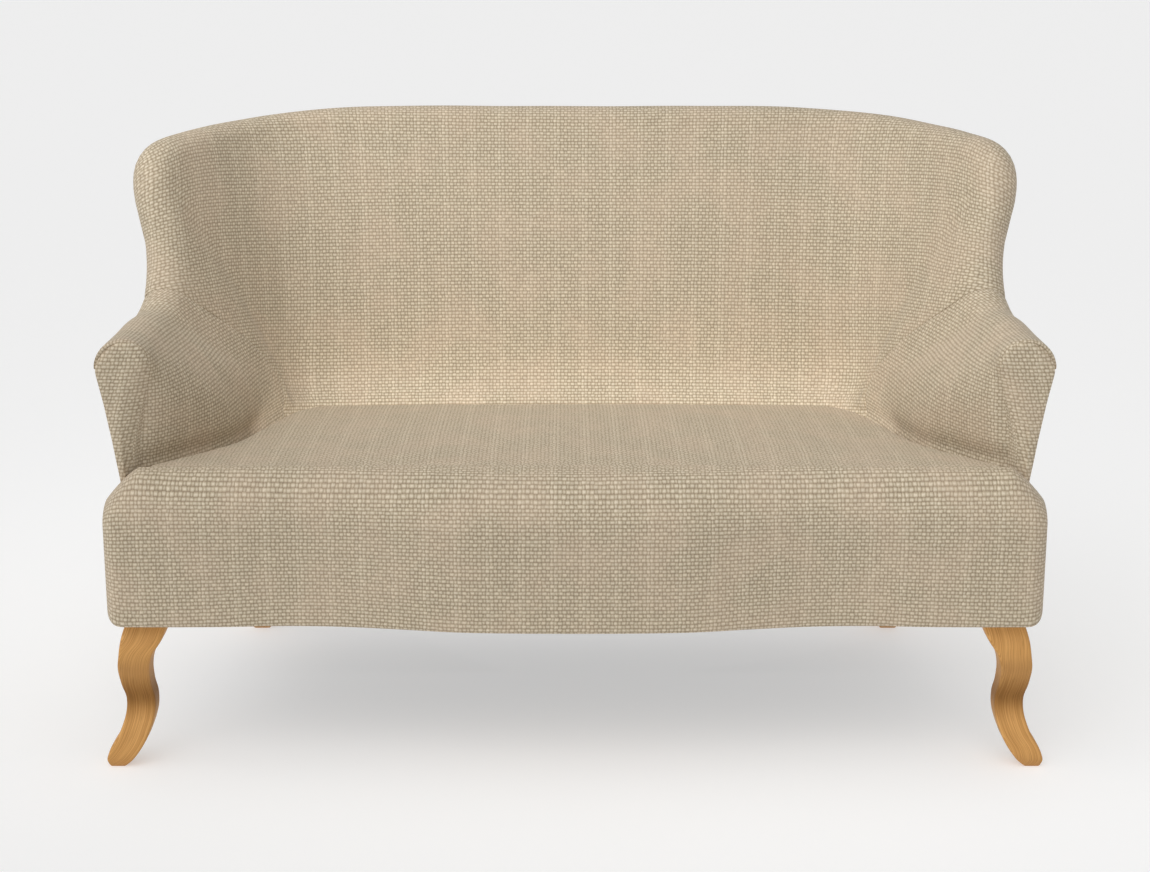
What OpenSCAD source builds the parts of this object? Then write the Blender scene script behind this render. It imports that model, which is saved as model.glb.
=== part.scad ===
// High back settee: tight seat and back, curved wings, flared arms and cabriole front legs

/* [Overall] */
// Width across the widest point of the arms
overall_w = 1400; // [1250:4:1640]
// Depth from the middle of the bowed front to the rear of the crown
overall_d = 774; // [720:2:840]
// Height of the crown
overall_h = 923; // [880:1:980]

/* [Seat] */
// Height of the seat at the seam behind the front roll
seat_h = 460; // [440:1:480]
// Fall of the seat from the front seam to its back edge
seat_fall = 19; // [8:1:30]
// Distance from the rear of the crown forward to the back edge of the seat
seat_back_in = 214; // [200:1:230]
// Distance from the middle of the bowed front to the seam behind the front roll
front_roll_d = 95; // [85:1:105]
// Distance from the widest point of the arms in to the side of the padded front
front_in = 11; // [8:1:16]
// How far the middle of the front stands forward of its ends
front_bow = 29; // [0:1:40]
// Height of the rounded nose above the upright front
nose_h = 80; // [60:1:90]
// Thickness of the padding in front of the rail
front_pad = 38; // [32:1:44]

/* [Arms] */
// Height of the top of the arms
arm_h = 648; // [620:1:680]
// Radius of the roll along the top of the arm
arm_roll = 44; // [38:1:50]
// Distance from the widest point of the arm in to its inside face, front end, at seat height
arm_w = 64; // [58:1:70]
// Thickness of the padded facing on the front of the arm
facing_t = 12; // [8:1:14]
// Thickness of the board behind the facing
arm_post_t = 24; // [18:1:28]

/* [Back] */
// Radius of the roll along the crown
crown_roll = 42; // [36:1:48]
// Radius of the roll along the front edge of the wings
wing_roll = 36; // [30:1:42]
// Distance from the rear of the crown forward to the foot of the back
back_foot_in = 105; // [80:1:130]
// Overhang of the arm beyond the body at the foot of its front end
arm_flare = 58; // [50:1:64]
// Thickness of the padding at the foot of the back and arms
pad_t = 55; // [46:1:60]
// Thickness of the padding over the top rail and arm rails
roll_pad = 16; // [12:1:18]
// Thickness of the outside panels, card and cover together
panel_t = 4; // [3:0.5:6]

/* [Frame] */
// Height of the underside of the settee above the floor
leg_h = 229; // [200:1:250]
// Height of the seat rails
rail_h = 98; // [84:1:104]
// Thickness of the back and side rails
rail_t = 32; // [26:1:36]
// Thickness of the back uprights
post_t = 28; // [22:1:32]
// Width of the back uprights
post_w = 40; // [30:1:50]
// Height of the rail behind the foot of the back
tuck_rail_h = 60; // [45:1:70]
// Thickness of the boards under the foot of the arm padding
tuck_board_t = 16; // [14:1:18]
// Height of the underside of the seat padding
deck_h = 354; // [350:1:358]

/* [Legs] */
// Distance from the widest point of the arms in to the centre of a front foot
front_foot_in = 15.5; // [12:0.5:20]
// Width of the front leg at its top
leg_w = 63; // [54:1:66]
// Depth of the front leg at its top
leg_d = 54; // [46:1:58]
// Distance from the widest point of the arms in to the centre of a rear foot
rear_foot_in = 142; // [125:1:160]
// Side of the square rear leg at its top
rear_leg_w = 46; // [38:1:50]
// Backward sweep of the rear leg
rear_sweep = 66; // [30:1:75]
// Radius of the bolt that holds a leg
bolt_r = 4; // [3:0.5:5]
// Length of the bolt that holds a leg
bolt_l = 80; // [60:1:90]

/* [Springs] */
// Number of seat springs
spring_count = 6; // [4:2:8]
// Distance between the seat springs
spring_pitch = 150; // [120:1:160]
// Radius of the spring wire
wire_r = 2; // [1.5:0.1:2.5]
// Width of a seat spring
spring_w = 50; // [40:1:60]
// Number of back straps
strap_count = 6; // [4:1:7]

/* [Hidden] */

wood = "burlywood";
oak = "peru";
cloth = [0.76, 0.69, 0.58];
steel = "silver";
black = [0.15, 0.15, 0.15];

// Small gap left between neighbouring pieces
gap = 0.3;
// Step along the shape line used to find its direction, in its points
probe = 1 / 20;

half_w = overall_w / 2;
half_d = overall_d / 2;
front_w = overall_w - 2 * front_in;
arm_gap_w = overall_w - 2 * arm_w;
body_w = overall_w - 2 * arm_flare;
front_feet_w = overall_w - 2 * front_foot_in;
rear_feet_w = overall_w - 2 * rear_foot_in;
plate_t = 2.5;
rail_z = leg_h + plate_t;
rail_top = rail_z + rail_h;
seam_y = front_roll_d - half_d;
arm_y = seam_y + gap + facing_t;
seat_back_y = half_d - seat_back_in;
crown_y = half_d - crown_roll;
foot_y = half_d - back_foot_in;
arm_axis_x = half_w - arm_roll;
arm_axis_z = arm_h - arm_roll;
crown_axis_z = overall_h - crown_roll;
front_y = front_bow - half_d;
rail_front_y = front_y + front_pad;
rail_back_y = arm_y - gap;
tuck_z = rail_top + tuck_board_t;

// Shape line of the rolled edge, from the middle of the back to the front of the arm.
// Shares of the arm's width, of the depth from arm front to crown, and of the rise from arm to crown
edge_shares = [
    [0, 1, 1], [0.457, 1, 1], [0.625, 0.994, 0.989], [0.762, 0.95, 0.968], [0.873, 0.861, 0.943],
    [0.955, 0.72, 0.92], [1.01, 0.595, 0.877], [1.008, 0.547, 0.712], [0.983, 0.509, 0.512],
    [0.971, 0.467, 0.32], [0.971, 0.413, 0.16], [0.983, 0.323, 0.04], [0.994, 0.208, 0.021],
    [1, 0.088, 0], [1, 0, 0]
];
// Line where the back and arms meet the seat, shares of the arm gap and of the seat depth
seat_line_shares = [
    [0, 1], [0.4717, 1], [0.6211, 0.9845], [0.6682, 0.9669], [0.6918, 0.9492], [0.7075, 0.9293],
    [0.7186, 0.9094], [0.7264, 0.8918], [0.7327, 0.8741], [0.739, 0.8586], [0.7453, 0.8387],
    [0.7704, 0.7173], [0.805, 0.5074], [0.8569, 0.2865], [1, 0]
];
// Line of the outside panels' lower edge, shares of the body width and of the depth
foot_shares = [
    [0, 1], [0.4717, 1], [0.6289, 1], [0.7704, 0.9964], [0.8538, 0.9822], [0.9088, 0.9377],
    [0.9355, 0.8807], [0.9544, 0.8184], [0.9654, 0.765], [0.9733, 0.7027], [0.9811, 0.6226],
    [0.989, 0.498], [0.9937, 0.3377], [0.9984, 0.1597], [1, 0]
];
// Plan of the bowed front at even steps from the middle to the end, shares of the bow
bow_shares = [1, 0.96, 0.8, 0.33, -0.07, -0.18, -0.02, 0.02, 0];

// Most that the padding may take of the width between the seat and the outside panel
foot_share = 0.3;
// How far the inside face of the wing holds the roll's direction, and the upright at its foot
wing_reach_share = 0.05;
wing_rise_share = 0.4;
// Steps up the inside face, over the roll and down an outside panel
rise_n = 8;
roll_n = 6;
panel_n = 4;
// Places along the shape line, counted in its points
last = len(edge_shares) - 1;
back_end = last - 10;
wing_start = back_end - 1;
wing_end = last - 4;
rail_sides = 8;
end_pad = 30;
rail_half = front_w / 2 - end_pad;
leg_splay = 51;
front_top_x = front_feet_w / 2 - leg_splay;
leg_in = 18;
front_leg_y = rail_front_y + leg_in;
rear_splay = 23;
rear_leg_in = 39;
rear_leg_y = foot_y - panel_t - rear_leg_in;
rear_top_x = rear_feet_w / 2 - rear_splay;
leg_tops = [for (x = [-1, 1]) each [
    [x * front_top_x, front_leg_y],
    [x * rear_top_x, rear_leg_y]
]];
bore_gap = 0.05;
bolt_in_leg = 50;
plate_w = 50;
plate_d = 34;
screw_r = 1.8;
screw_l = 18;
screw_head_r = 3.4;
screw_head_h = 1.5;
screw_x_share = 0.36;
screw_y_share = 0.3;
screw_places = [for (p = leg_tops, i = [-1, 1], j = [-1, 1])
    [p[0] + i * screw_x_share * plate_w, p[1] + j * screw_y_share * plate_d]];
corner_r = 26;
front_steps = 16;
block_from = 4;
bow_edge = 1;
joint_step = 1 / 100;
centre_rail_h = 60;
block_l = 70;
cabriole_shares = [
    [0, 0, 0.27], [0.017, 0, 0.35], [0.06, 0.06, 0.62], [0.137, 0.235, 0.746], [0.223, 0.46, 0.715],
    [0.343, 0.685, 0.7], [0.451, 0.725, 0.69], [0.558, 0.61, 0.714], [0.687, 0.54, 0.754],
    [0.794, 0.61, 0.8], [0.888, 0.8, 0.97], [1, 1, 1]
];
sabre_shares = [
    [0, 0, 0.62], [0.03, 0.02, 0.7], [0.2, 0.24, 0.72], [0.45, 0.56, 0.8], [0.75, 0.88, 0.94], [1, 1, 1]
];
leg_sides = 16;
leg_corner_share = 0.5;
leg_run = 15;
post_foot_w = 44;
post_clear = 1;
// Clear distance between the end of the arm rail and the post
rail_clear = 5;
arm_rail_end = last - (arm_post_t + rail_clear) / (crown_y - arm_y) / edge_shares[last - 1][1];
strap_t = 2;
wing_post_share = 0.175;
wing_post_place = mix(wing_end, last, wing_post_share);
post_share = 0.65;
post_place = post_share * back_end;
post_in = 7;
wing_post_drop = 4;
rail_play = 1.2;
tuck_board_w = 28;
strap_reach_share = 0.3125;
strap_half_share = 0.0225;
strap_reach = strap_reach_share * back_end;
strap_half = strap_half_share * back_end;
clip_t = 2;
cover_t = 1.2;
spring_in = 8;
spring_y0 = rail_back_y - spring_in;
spring_y1 = foot_y - panel_t - rail_t + spring_in;
spring_base = rail_top + clip_t + gap + wire_r;
arch = deck_h - cover_t - 2 * gap - wire_r - spring_base;
spring_waves = 7;
spring_turns = 8;
spring_steps = spring_waves * spring_turns;
spring_xs = [for (i = [0:spring_count - 1]) (i - (spring_count - 1) / 2) * spring_pitch];
clip_w = 20;
clip_d = 9;
tie_r = 1.5;
tie_shares = [0.3, 0.7];
// Rows of the seat: each half point beside the arms, then shares of the back's end
seat_row_shares = [2, 1.5, 1, 0.75, 0.5, 0.375, 0.25];
seat_places = concat([for (i = [2 * last:-1:2 * wing_end]) i / 2], seat_row_shares * back_end);
seat_columns = 14;
seat_sag = 11;
seat_crown = 10;
seat_edge = 1;
cover_in = 12;
ear_r = 52;
hem_r = 8;
hem_end_r = 20;
nose_n = 8;
// Even places along the front between its rounded ends
front_xs = [for (i = [0:front_steps]) (2 * i / front_steps - 1) * (front_w / 2 - ear_r)];
ear_angles = [30, 44, 58, 72, 90];
wing_foot_shares = [0.3, 0.65];
back_places = concat(
    [0], [for (i = [2:2 * wing_end - 4]) i / 2],
    [for (q = wing_foot_shares) mix(wing_end - 2, wing_end, q)], [wing_end - joint_step]
);
arm_places = concat([wing_end + joint_step], [for (i = [2 * wing_end + 1:2 * last]) i / 2]);
facing_in = 1;
dust_t = 1;
dust_in = 12;

function unit(v) = v / norm(v);
function mix(a, b, t) = a + (b - a) * t;
function clamp(t) = min(1, max(0, t));
// Smooth curve through a list of points or numbers
function through(list, s) =
    let(n = len(list) - 1)
    let(i = min(max(floor(s), 0), n - 1))
    let(t = s - i)
    let(b = list[i])
    let(c = list[i + 1])
    let(a = i > 0 ? list[i - 1] : 2 * b - c)
    let(d = i + 2 <= n ? list[i + 2] : 2 * c - b)
    b + ((c - a) * t + (2 * a - 5 * b + 4 * c - d) * t * t + (3 * b - a - 3 * c + d) * t * t * t) / 2;
function bezier(a, b, c, d, t) =
    a * pow(1 - t, 3) + 3 * b * pow(1 - t, 2) * t + 3 * c * (1 - t) * t * t + d * pow(t, 3);
function sided(p, s) = s < 0 ? [-p[0], p[1], p[2]] : p;

// Axis of the rolled edge at a place s, negative on the left half
function edge_axis(s) =
    let(q = through(edge_shares, abs(s)))
    sided([
        q[0] * arm_axis_x,
        mix(arm_y, crown_y, q[1]),
        mix(arm_axis_z, crown_axis_z, q[2])
    ], s);
function edge_r(s) =
    abs(s) < 8
        ? mix(crown_roll, wing_roll, clamp((abs(s) - 2) / 6))
        : mix(wing_roll, arm_roll, clamp((abs(s) - 8) / 5));
function seat_line(s) =
    let(q = through(seat_line_shares, abs(s)))
    sided([
        q[0] * arm_gap_w / 2,
        mix(arm_y, seat_back_y, q[1]),
        seat_h - seat_fall * clamp(q[1])
    ], s);
function foot_line(s) =
    let(q = through(foot_shares, abs(s)))
    sided([q[0] * body_w / 2, mix(arm_y, foot_y, q[1]), rail_z], s);

// Directions at a place: along the edge, from the edge to a point square to it, and outwards
function along(s) = unit(edge_axis(s + probe) - edge_axis(s - probe));
function away(s, p) =
    let(v = p - edge_axis(s))
    let(t = along(s))
    unit(v - (v * t) * t);
function in_normal(s) = -cross(along(s), away(s, seat_line(s)));
function out_normal(s) = cross(along(s), away(s, foot_line(s)));
function turn(s) =
    let(u = -away(s, seat_line(s)))
    let(a = atan2(out_normal(s) * u, out_normal(s) * in_normal(s)))
    a < 0 ? a + 360 : a;
function plan_unit(v) = unit([v[0], v[1], 0]);

// From 0 on the back and the arm to 1 in the middle of the wing
function wing_part(s) = sin(180 * clamp((abs(s) - wing_start) / (wing_end - wing_start)));
// Points up the inside face and over the roll, sunk below the cover by low at the foot and high at the roll.
// Where the arm is slim at its foot, the padding takes only a share of the room
function inside_path(s, low, high) =
    let(base = seat_line(s))
    let(across = outside_at(s, base[2], 0) - base)
    let(room = foot_share * norm(across))
    let(deep = min(low, room * min(1, low / pad_t) + max(0, low - pad_t)))
    let(a = base + deep * plan_unit(across))
    let(r = edge_r(s) - high)
    let(d = edge_axis(s) + r * in_normal(s))
    let(reach = norm(d - a) / 3)
    let(b = a + [0, 0, mix(1, wing_rise_share, wing_part(s)) * reach])
    let(c = d + mix(1, wing_reach_share, wing_part(s)) * reach * away(s, seat_line(s)))
    let(u = -away(s, seat_line(s)))
    concat(
        [[a[0], a[1], tuck_z + gap]],
        [for (k = [0:rise_n]) bezier(a, b, c, d, k / rise_n)],
        [for (k = [1:roll_n])
            let(f = turn(s) * k / roll_n)
            edge_axis(s) + r * (cos(f) * in_normal(s) + sin(f) * u)]
    );
// Point on an outside panel at a height, sunk by a depth
function outside_at(s, z, deep) =
    let(top = edge_axis(s) + (edge_r(s) - deep) * out_normal(s))
    let(low = foot_line(s) + deep * foot_inward(s))
    mix(top, low, (top[2] - z) / (top[2] - low[2]));
// Points down an outside panel
function outside_path(s, deep) =
    let(top = edge_axis(s) + (edge_r(s) - deep) * out_normal(s))
    let(low = foot_line(s) + deep * foot_inward(s))
    let(seam = 2 * gap / norm(low - top))
    [for (k = [0:panel_n]) mix(top, low, mix(seam, 1, k / panel_n))];
// Direction from the lower edge towards the middle of the settee, level
function foot_inward(s) =
    let(t = plan_unit(foot_line(s + probe) - foot_line(s - probe)))
    [t[1], -t[0], 0];
function foot_in(s, deep) =
    let(p = foot_line(s) + deep * foot_inward(s))
    [p[0], p[1]];

// Closed band between an outer and an inner set of paths. Seen from outside, the paths follow
// each other from left to right, and each path runs upwards
module band(outer, inner) {
    m = len(outer) - 1;
    n = len(outer[0]) - 1;
    w = n + 1;
    o = (m + 1) * w;
    points = concat([for (p = outer) each p], [for (p = inner) each p]);
    faces = concat(
        [for (j = [0:m - 1], k = [0:n - 1]) each [
            [j * w + k, (j + 1) * w + k + 1, (j + 1) * w + k],
            [j * w + k, j * w + k + 1, (j + 1) * w + k + 1],
            [o + j * w + k, o + (j + 1) * w + k, o + (j + 1) * w + k + 1],
            [o + j * w + k, o + (j + 1) * w + k + 1, o + j * w + k + 1]
        ]],
        [for (j = [0:m - 1]) each [
            [j * w, o + (j + 1) * w, o + j * w],
            [j * w, (j + 1) * w, o + (j + 1) * w],
            [j * w + n, o + j * w + n, o + (j + 1) * w + n],
            [j * w + n, o + (j + 1) * w + n, (j + 1) * w + n]
        ]],
        [for (k = [0:n - 1]) each [
            [k, o + k + 1, k + 1],
            [k, o + k, o + k + 1],
            [m * w + k, m * w + k + 1, o + m * w + k + 1],
            [m * w + k, o + m * w + k + 1, o + m * w + k]
        ]]
    );
    polyhedron(points, faces, convexity = 6);
}

// Solid bar along rings of points, each counter-clockwise seen from the last ring
module bar(rings) {
    m = len(rings) - 1;
    w = len(rings[0]);
    points = [for (r = rings) each r];
    faces = concat(
        [[for (k = [0:w - 1]) k]],
        [for (j = [0:m - 1], k = [0:w - 1]) each [
            [j * w + k, (j + 1) * w + (k + 1) % w, j * w + (k + 1) % w],
            [j * w + k, (j + 1) * w + k, (j + 1) * w + (k + 1) % w]
        ]],
        [[for (k = [0:w - 1]) m * w + w - 1 - k]]
    );
    polyhedron(points, faces, convexity = 6);
}

function evenly(a, b, n) = [for (i = [0:n]) mix(a, b, i / n)];
// A list of places from the middle outwards, with the same places on the left half before it
function mirrored(half) = concat([for (i = [len(half) - 1:-1:1]) -half[i]], half);

// Frame of curved rails along the rolled edge
module edge_rail(places, sunk) {
    color(wood)
        bar([for (s = places)
            [for (k = [0:rail_sides - 1])
                let(f = -360 * k / rail_sides)
                let(u = -away(s, seat_line(s)))
                edge_axis(s) + (edge_r(s) - sunk) * (cos(f) * in_normal(s) + sin(f) * u)]]);
}

// Seat frame

module frame_bores() {
    for (p = leg_tops) translate([p[0], p[1], rail_z - bolt_r])
        cylinder(r = bolt_r + bore_gap, h = bolt_l - bolt_in_leg + 2 * bolt_r, $fn = 32);
    for (p = screw_places) translate([p[0], p[1], rail_z - bolt_r])
        cylinder(r = screw_r + bore_gap, h = screw_l + 2 * bolt_r, $fn = 24);
}
module rail_part(outline) {
    color(wood)
        difference() {
            translate([0, 0, rail_z])
                linear_extrude(rail_h)
                polygon(outline);
            frame_bores();
        }
}
module front_rail() {
    rail_part([
        [-rail_half, rail_front_y], [rail_half, rail_front_y],
        [rail_half, rail_back_y], [-rail_half, rail_back_y]
    ]);
}
function front_face_y(x) =
    let(half = front_w / 2)
    let(f = min(1, abs(x) / half) * (len(bow_shares) - 1))
    let(over = max(0, min(abs(x), half) - half + corner_r))
    front_y - front_bow * through(bow_shares, f) + corner_r - sqrt(corner_r * corner_r - over * over);
// Shaped block that carries the bow of the front
module bow_block() {
    back = rail_front_y - gap / 3;
    half = front_xs[front_steps - block_from];
    curve = [for (i = [block_from:front_steps - block_from])
        [front_xs[i], min(front_face_y(front_xs[i]) + front_pad, back - bow_edge)]];
    color(wood)
        translate([0, 0, rail_z])
        linear_extrude(rail_h)
        polygon(concat(curve, [[half, back], [-half, back]]));
}
module back_rail() {
    rail_part(concat(
        [for (s = evenly(-back_end, back_end, 16)) foot_in(s, panel_t + gap)],
        [for (s = evenly(back_end, -back_end, 16)) foot_in(s, panel_t + gap + rail_t)]
    ));
}
module side_rail_right() {
    first = back_end + joint_step;
    rail_part(concat(
        [for (s = evenly(first, last - joint_step, 20)) foot_in(s, panel_t + gap)],
        [for (s = evenly(last - joint_step, first, 20)) foot_in(s, panel_t + gap + rail_t)]
    ));
}
module side_rail_left() {
    mirror([1, 0, 0]) side_rail_right();
}
module centre_rail() {
    rear = foot_y - panel_t - rail_t - 2 * gap;
    color(wood)
        translate([-rail_t / 2, rail_back_y + gap, rail_z])
        cube([rail_t, rear - rail_back_y - gap, centre_rail_h]);
}
module corner_blocks() {
    deep = panel_t + rail_t + 2 * gap;
    front_x = foot_in(last - 1, deep)[0];
    front = [
        [front_x, rail_back_y + gap], [front_x - block_l, rail_back_y + gap],
        [front_x, rail_back_y + gap + block_l]
    ];
    curve = [for (s = evenly(back_end - 1, back_end + 2, 6)) foot_in(s, deep)];
    rear = concat(curve, [[curve[0][0], curve[6][1]]]);
    color(wood)
        difference() {
            for (m = [0, 1]) mirror([m, 0, 0])
                translate([0, 0, rail_z])
                linear_extrude(rail_h) {
                    polygon(front);
                    polygon(rear);
                }
            frame_bores();
        }
}

// Leg fixings
module leg_plates() {
    color(steel)
        for (p = leg_tops) difference() {
            translate([p[0] - plate_w / 2, p[1] - plate_d / 2, leg_h + gap / 3])
                cube([plate_w, plate_d, plate_t - 2 * gap / 3]);
            translate([p[0], p[1], leg_h - plate_t])
                cylinder(r = bolt_r + bore_gap, h = 3 * plate_t, $fn = 32);
            for (i = [-1, 1], j = [-1, 1])
                translate([
                    p[0] + i * screw_x_share * plate_w,
                    p[1] + j * screw_y_share * plate_d,
                    leg_h - plate_t
                ]) {
                    cylinder(r = screw_r + bore_gap, h = 3 * plate_t, $fn = 24);
                    cylinder(r = screw_head_r + bore_gap, h = plate_t + screw_head_h, $fn = 24);
                }
        }
}
module plate_screws() {
    color(steel)
        for (p = screw_places) translate([p[0], p[1], leg_h + gap / 3]) {
            cylinder(r = screw_head_r, h = screw_head_h - gap / 3 - bore_gap, $fn = 24);
            cylinder(r = screw_r, h = screw_l, $fn = 24);
        }
}
module leg_bolts() {
    color(steel)
        for (p = leg_tops) translate([p[0], p[1], leg_h - bolt_in_leg])
            cylinder(r = bolt_r, h = bolt_l, $fn = 32);
}

// Legs: height, offset from the foot's centre and width, as shares of the leg's own sizes
function leg_ring(centre, w, d, z) =
    [for (k = [0:leg_sides - 1])
        let(f = 360 * (k + 1 / 2) / leg_sides)
        [
            centre[0] + w / 2 * sign(cos(f)) * pow(abs(cos(f)), leg_corner_share),
            centre[1] + d / 2 * sign(sin(f)) * pow(abs(sin(f)), leg_corner_share),
            z
        ]];
module leg_shape(shares, foot, top, w, d, rings) {
    color(oak)
        difference() {
            bar([for (i = [0:rings])
                let(q = through(shares, (len(shares) - 1) * i / rings))
                leg_ring(mix(foot, top, q[1]), w * q[2], d * q[2], q[0] * leg_h)]);
            translate([top[0], top[1], leg_h - bolt_in_leg - bolt_r])
                cylinder(r = bolt_r + bore_gap, h = bolt_l, $fn = 32);
        }
}
module front_leg_right() {
    leg_shape(
        cabriole_shares,
        [front_feet_w / 2, front_leg_y - leg_run],
        [front_top_x, front_leg_y],
        leg_w, leg_d, 22
    );
}
module front_leg_left() {
    mirror([1, 0, 0]) front_leg_right();
}
module rear_leg_right() {
    leg_shape(
        sabre_shares,
        [rear_feet_w / 2, rear_leg_y + rear_sweep],
        [rear_top_x, rear_leg_y],
        rear_leg_w, rear_leg_w, 12
    );
}
module rear_leg_left() {
    mirror([1, 0, 0]) rear_leg_right();
}

// Arms and wings
module arm_post_right() {
    x = foot_in(last, panel_t + gap)[0] - post_foot_w;
    low = rail_top + gap;
    inner = [for (p = inside_path(last, pad_t + gap, roll_pad + post_clear)) [p[0], p[2]]];
    outer = [for (p = outside_path(last, panel_t + gap)) if (p[2] > low) [p[0], p[2]]];
    color(wood)
        translate([0, arm_y + gap + arm_post_t, 0])
        rotate([90, 0, 0])
        linear_extrude(arm_post_t)
        polygon(concat(
            [[x, low], [x, tuck_z], [inner[0][0], tuck_z]],
            inner,
            outer,
            [[outside_at(last, low, panel_t + gap)[0], low]]
        ));
}
module arm_post_left() {
    mirror([1, 0, 0]) arm_post_right();
}
module arm_rail_right() {
    edge_rail(concat([for (s = arm_places) if (s < arm_rail_end) s], [arm_rail_end]), roll_pad + rail_play);
}
module arm_rail_left() {
    mirror([1, 0, 0]) arm_rail_right();
}
module wing_frame_right() {
    edge_rail(concat([back_end + joint_step], [for (s = back_places) if (s > back_end) s]), roll_pad + rail_play);
}
module wing_frame_left() {
    mirror([1, 0, 0]) wing_frame_right();
}
module top_rail() {
    half = concat([for (s = back_places) if (s < back_end) s], [back_end - joint_step]);
    edge_rail(mirrored(half), roll_pad + rail_play + strap_t + gap);
}
module wing_post_right() {
    p = edge_axis(wing_post_place);
    top = p[2] - edge_r(wing_post_place) + roll_pad - wing_post_drop;
    x = foot_in(wing_post_place, panel_t + gap)[0];
    color(wood)
        translate([x - post_t - gap, p[1] - post_w / 2, rail_top + gap])
        cube([post_t, post_w, top - rail_top - gap]);
}
module wing_post_left() {
    mirror([1, 0, 0]) wing_post_right();
}

// Back
function post_ring(s, z) =
    let(p = outside_at(s, z, panel_t + gap))
    let(y = p[1] - (s > 0 ? post_in : 0))
    [
        [p[0] - post_t / 2, y - post_w, z], [p[0] + post_t / 2, y - post_w, z],
        [p[0] + post_t / 2, y, z], [p[0] - post_t / 2, y, z]
    ];
module back_post(s) {
    rail_r = edge_r(s) - roll_pad - rail_play - strap_t - gap;
    color(wood)
        bar([post_ring(s, rail_top + gap), post_ring(s, edge_axis(s)[2] - rail_r - gap)]);
}
module back_post_right() {
    back_post(post_place);
}
module back_post_left() {
    mirror([1, 0, 0]) back_post_right();
}
module back_post_centre() {
    back_post(0);
}
module back_tuck_rail() {
    front = seat_back_y + pad_t + strap_t + 2 * gap;
    rear = post_ring(post_place, tuck_z)[0][1] - gap;
    half = post_ring(post_place, tuck_z)[1][0];
    color(wood)
        translate([-half, front, tuck_z])
        cube([2 * half, rear - front, tuck_rail_h]);
}
module arm_tuck_rail_right() {
    front = foot_in(last, panel_t + gap)[0] - post_foot_w - gap;
    rear = post_ring(post_place, rail_top)[1][0] + tuck_board_w + 2 * gap;
    y_front = seam_y + 2 * gap;
    y_rear = foot_y - rail_t / 2 - panel_t;
    color(wood)
        translate([0, 0, rail_top + gap])
        linear_extrude(tuck_z - rail_top - gap)
        polygon([
            [front, y_front], [rear, y_rear],
            [rear - tuck_board_w, y_rear], [front - tuck_board_w, y_front]
        ]);
}
module arm_tuck_rail_left() {
    mirror([1, 0, 0]) arm_tuck_rail_right();
}
// Elastic straps behind the back padding
function strap_path(s, deep) =
    [for (k = [0:rise_n + 1]) inside_path(s, pad_t + deep, roll_pad + deep)[k]];
module back_webbing() {
    color("dimgray")
        for (i = [0:strap_count - 1])
            let(s = strap_reach * (2 * i / (strap_count - 1) - 1))
            band(
                [for (t = evenly(s - strap_half, s + strap_half, 2)) strap_path(t, gap)],
                [for (t = evenly(s - strap_half, s + strap_half, 2)) strap_path(t, gap + strap_t)]
            );
}

// Springs
function spring_z(y) = spring_base + arch * sin(180 * clamp((y - spring_y0) / (spring_y1 - spring_y0)));
module seat_springs() {
    step_y = (spring_y1 - spring_y0) / spring_steps;
    color(steel)
        for (x = spring_xs)
            bar([for (i = [0:spring_steps])
                let(f = 360 * i / spring_turns)
                let(y = spring_y0 + i * step_y)
                let(c = [x + spring_w / 2 * sin(f), y, spring_z(y)])
                let(a = unit([spring_w * PI / spring_turns * cos(f), step_y]))
                [for (k = [0:3])
                    c + wire_r * (cos(90 * k) * [-a[1], a[0], 0] + sin(90 * k) * [0, 0, 1])]]);
}
module spring_clips() {
    color(steel)
        for (x = spring_xs, y = [spring_y0, spring_y1 - clip_d])
            translate([x - clip_w / 2, y, rail_top + gap / 3])
                cube([clip_w, clip_d, clip_t - gap / 3]);
}
module tie_wires() {
    half = spring_xs[spring_count - 1] + spring_w;
    color(steel)
        for (q = tie_shares)
            let(y = mix(spring_y0, spring_y1, q))
            translate([-half, y, spring_z(y) - wire_r - tie_r - gap])
            rotate([0, 90, 0])
            cylinder(r = tie_r, h = 2 * half, $fn = 16);
}

// Seat padding
// Fall of the seat towards its sides, the same as along the front seam
function side_fall(x) = seat_sag * pow(abs(x) / (front_w / 2), 4);
function seat_row(s, y) =
    let(p = seat_line(s))
    let(q = clamp((y - arm_y) / (seat_back_y - arm_y)))
    [for (i = [0:seat_columns])
        let(f = sin(90 * (1 - 2 * i / seat_columns)))
        let(x = f * (p[0] - gap))
        [
            x, y,
            p[2] - side_fall(x) + 4 * q * (1 - q) * seat_crown * (1 - f * f) - seat_edge * pow(f, 8)
        ]];
module seat_pad() {
    rows = concat(
        [seat_row(last, seam_y + gap)],
        [for (s = seat_places) seat_row(s, seat_line(s)[1] - gap)]
    );
    color(cloth)
        band(rows, [for (r = rows) [for (p = r) [p[0], p[1], deck_h]]]);
}
module spring_cover() {
    outline = [for (s = seat_places) let(p = seat_line(s)) [p[0] - cover_in, p[1] - cover_in]];
    color("tan")
        translate([0, 0, deck_h - cover_t - gap])
        linear_extrude(cover_t)
        polygon(concat(outline, [for (i = [len(outline) - 1:-1:0]) [-outline[i][0], outline[i][1]]]));
}

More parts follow.
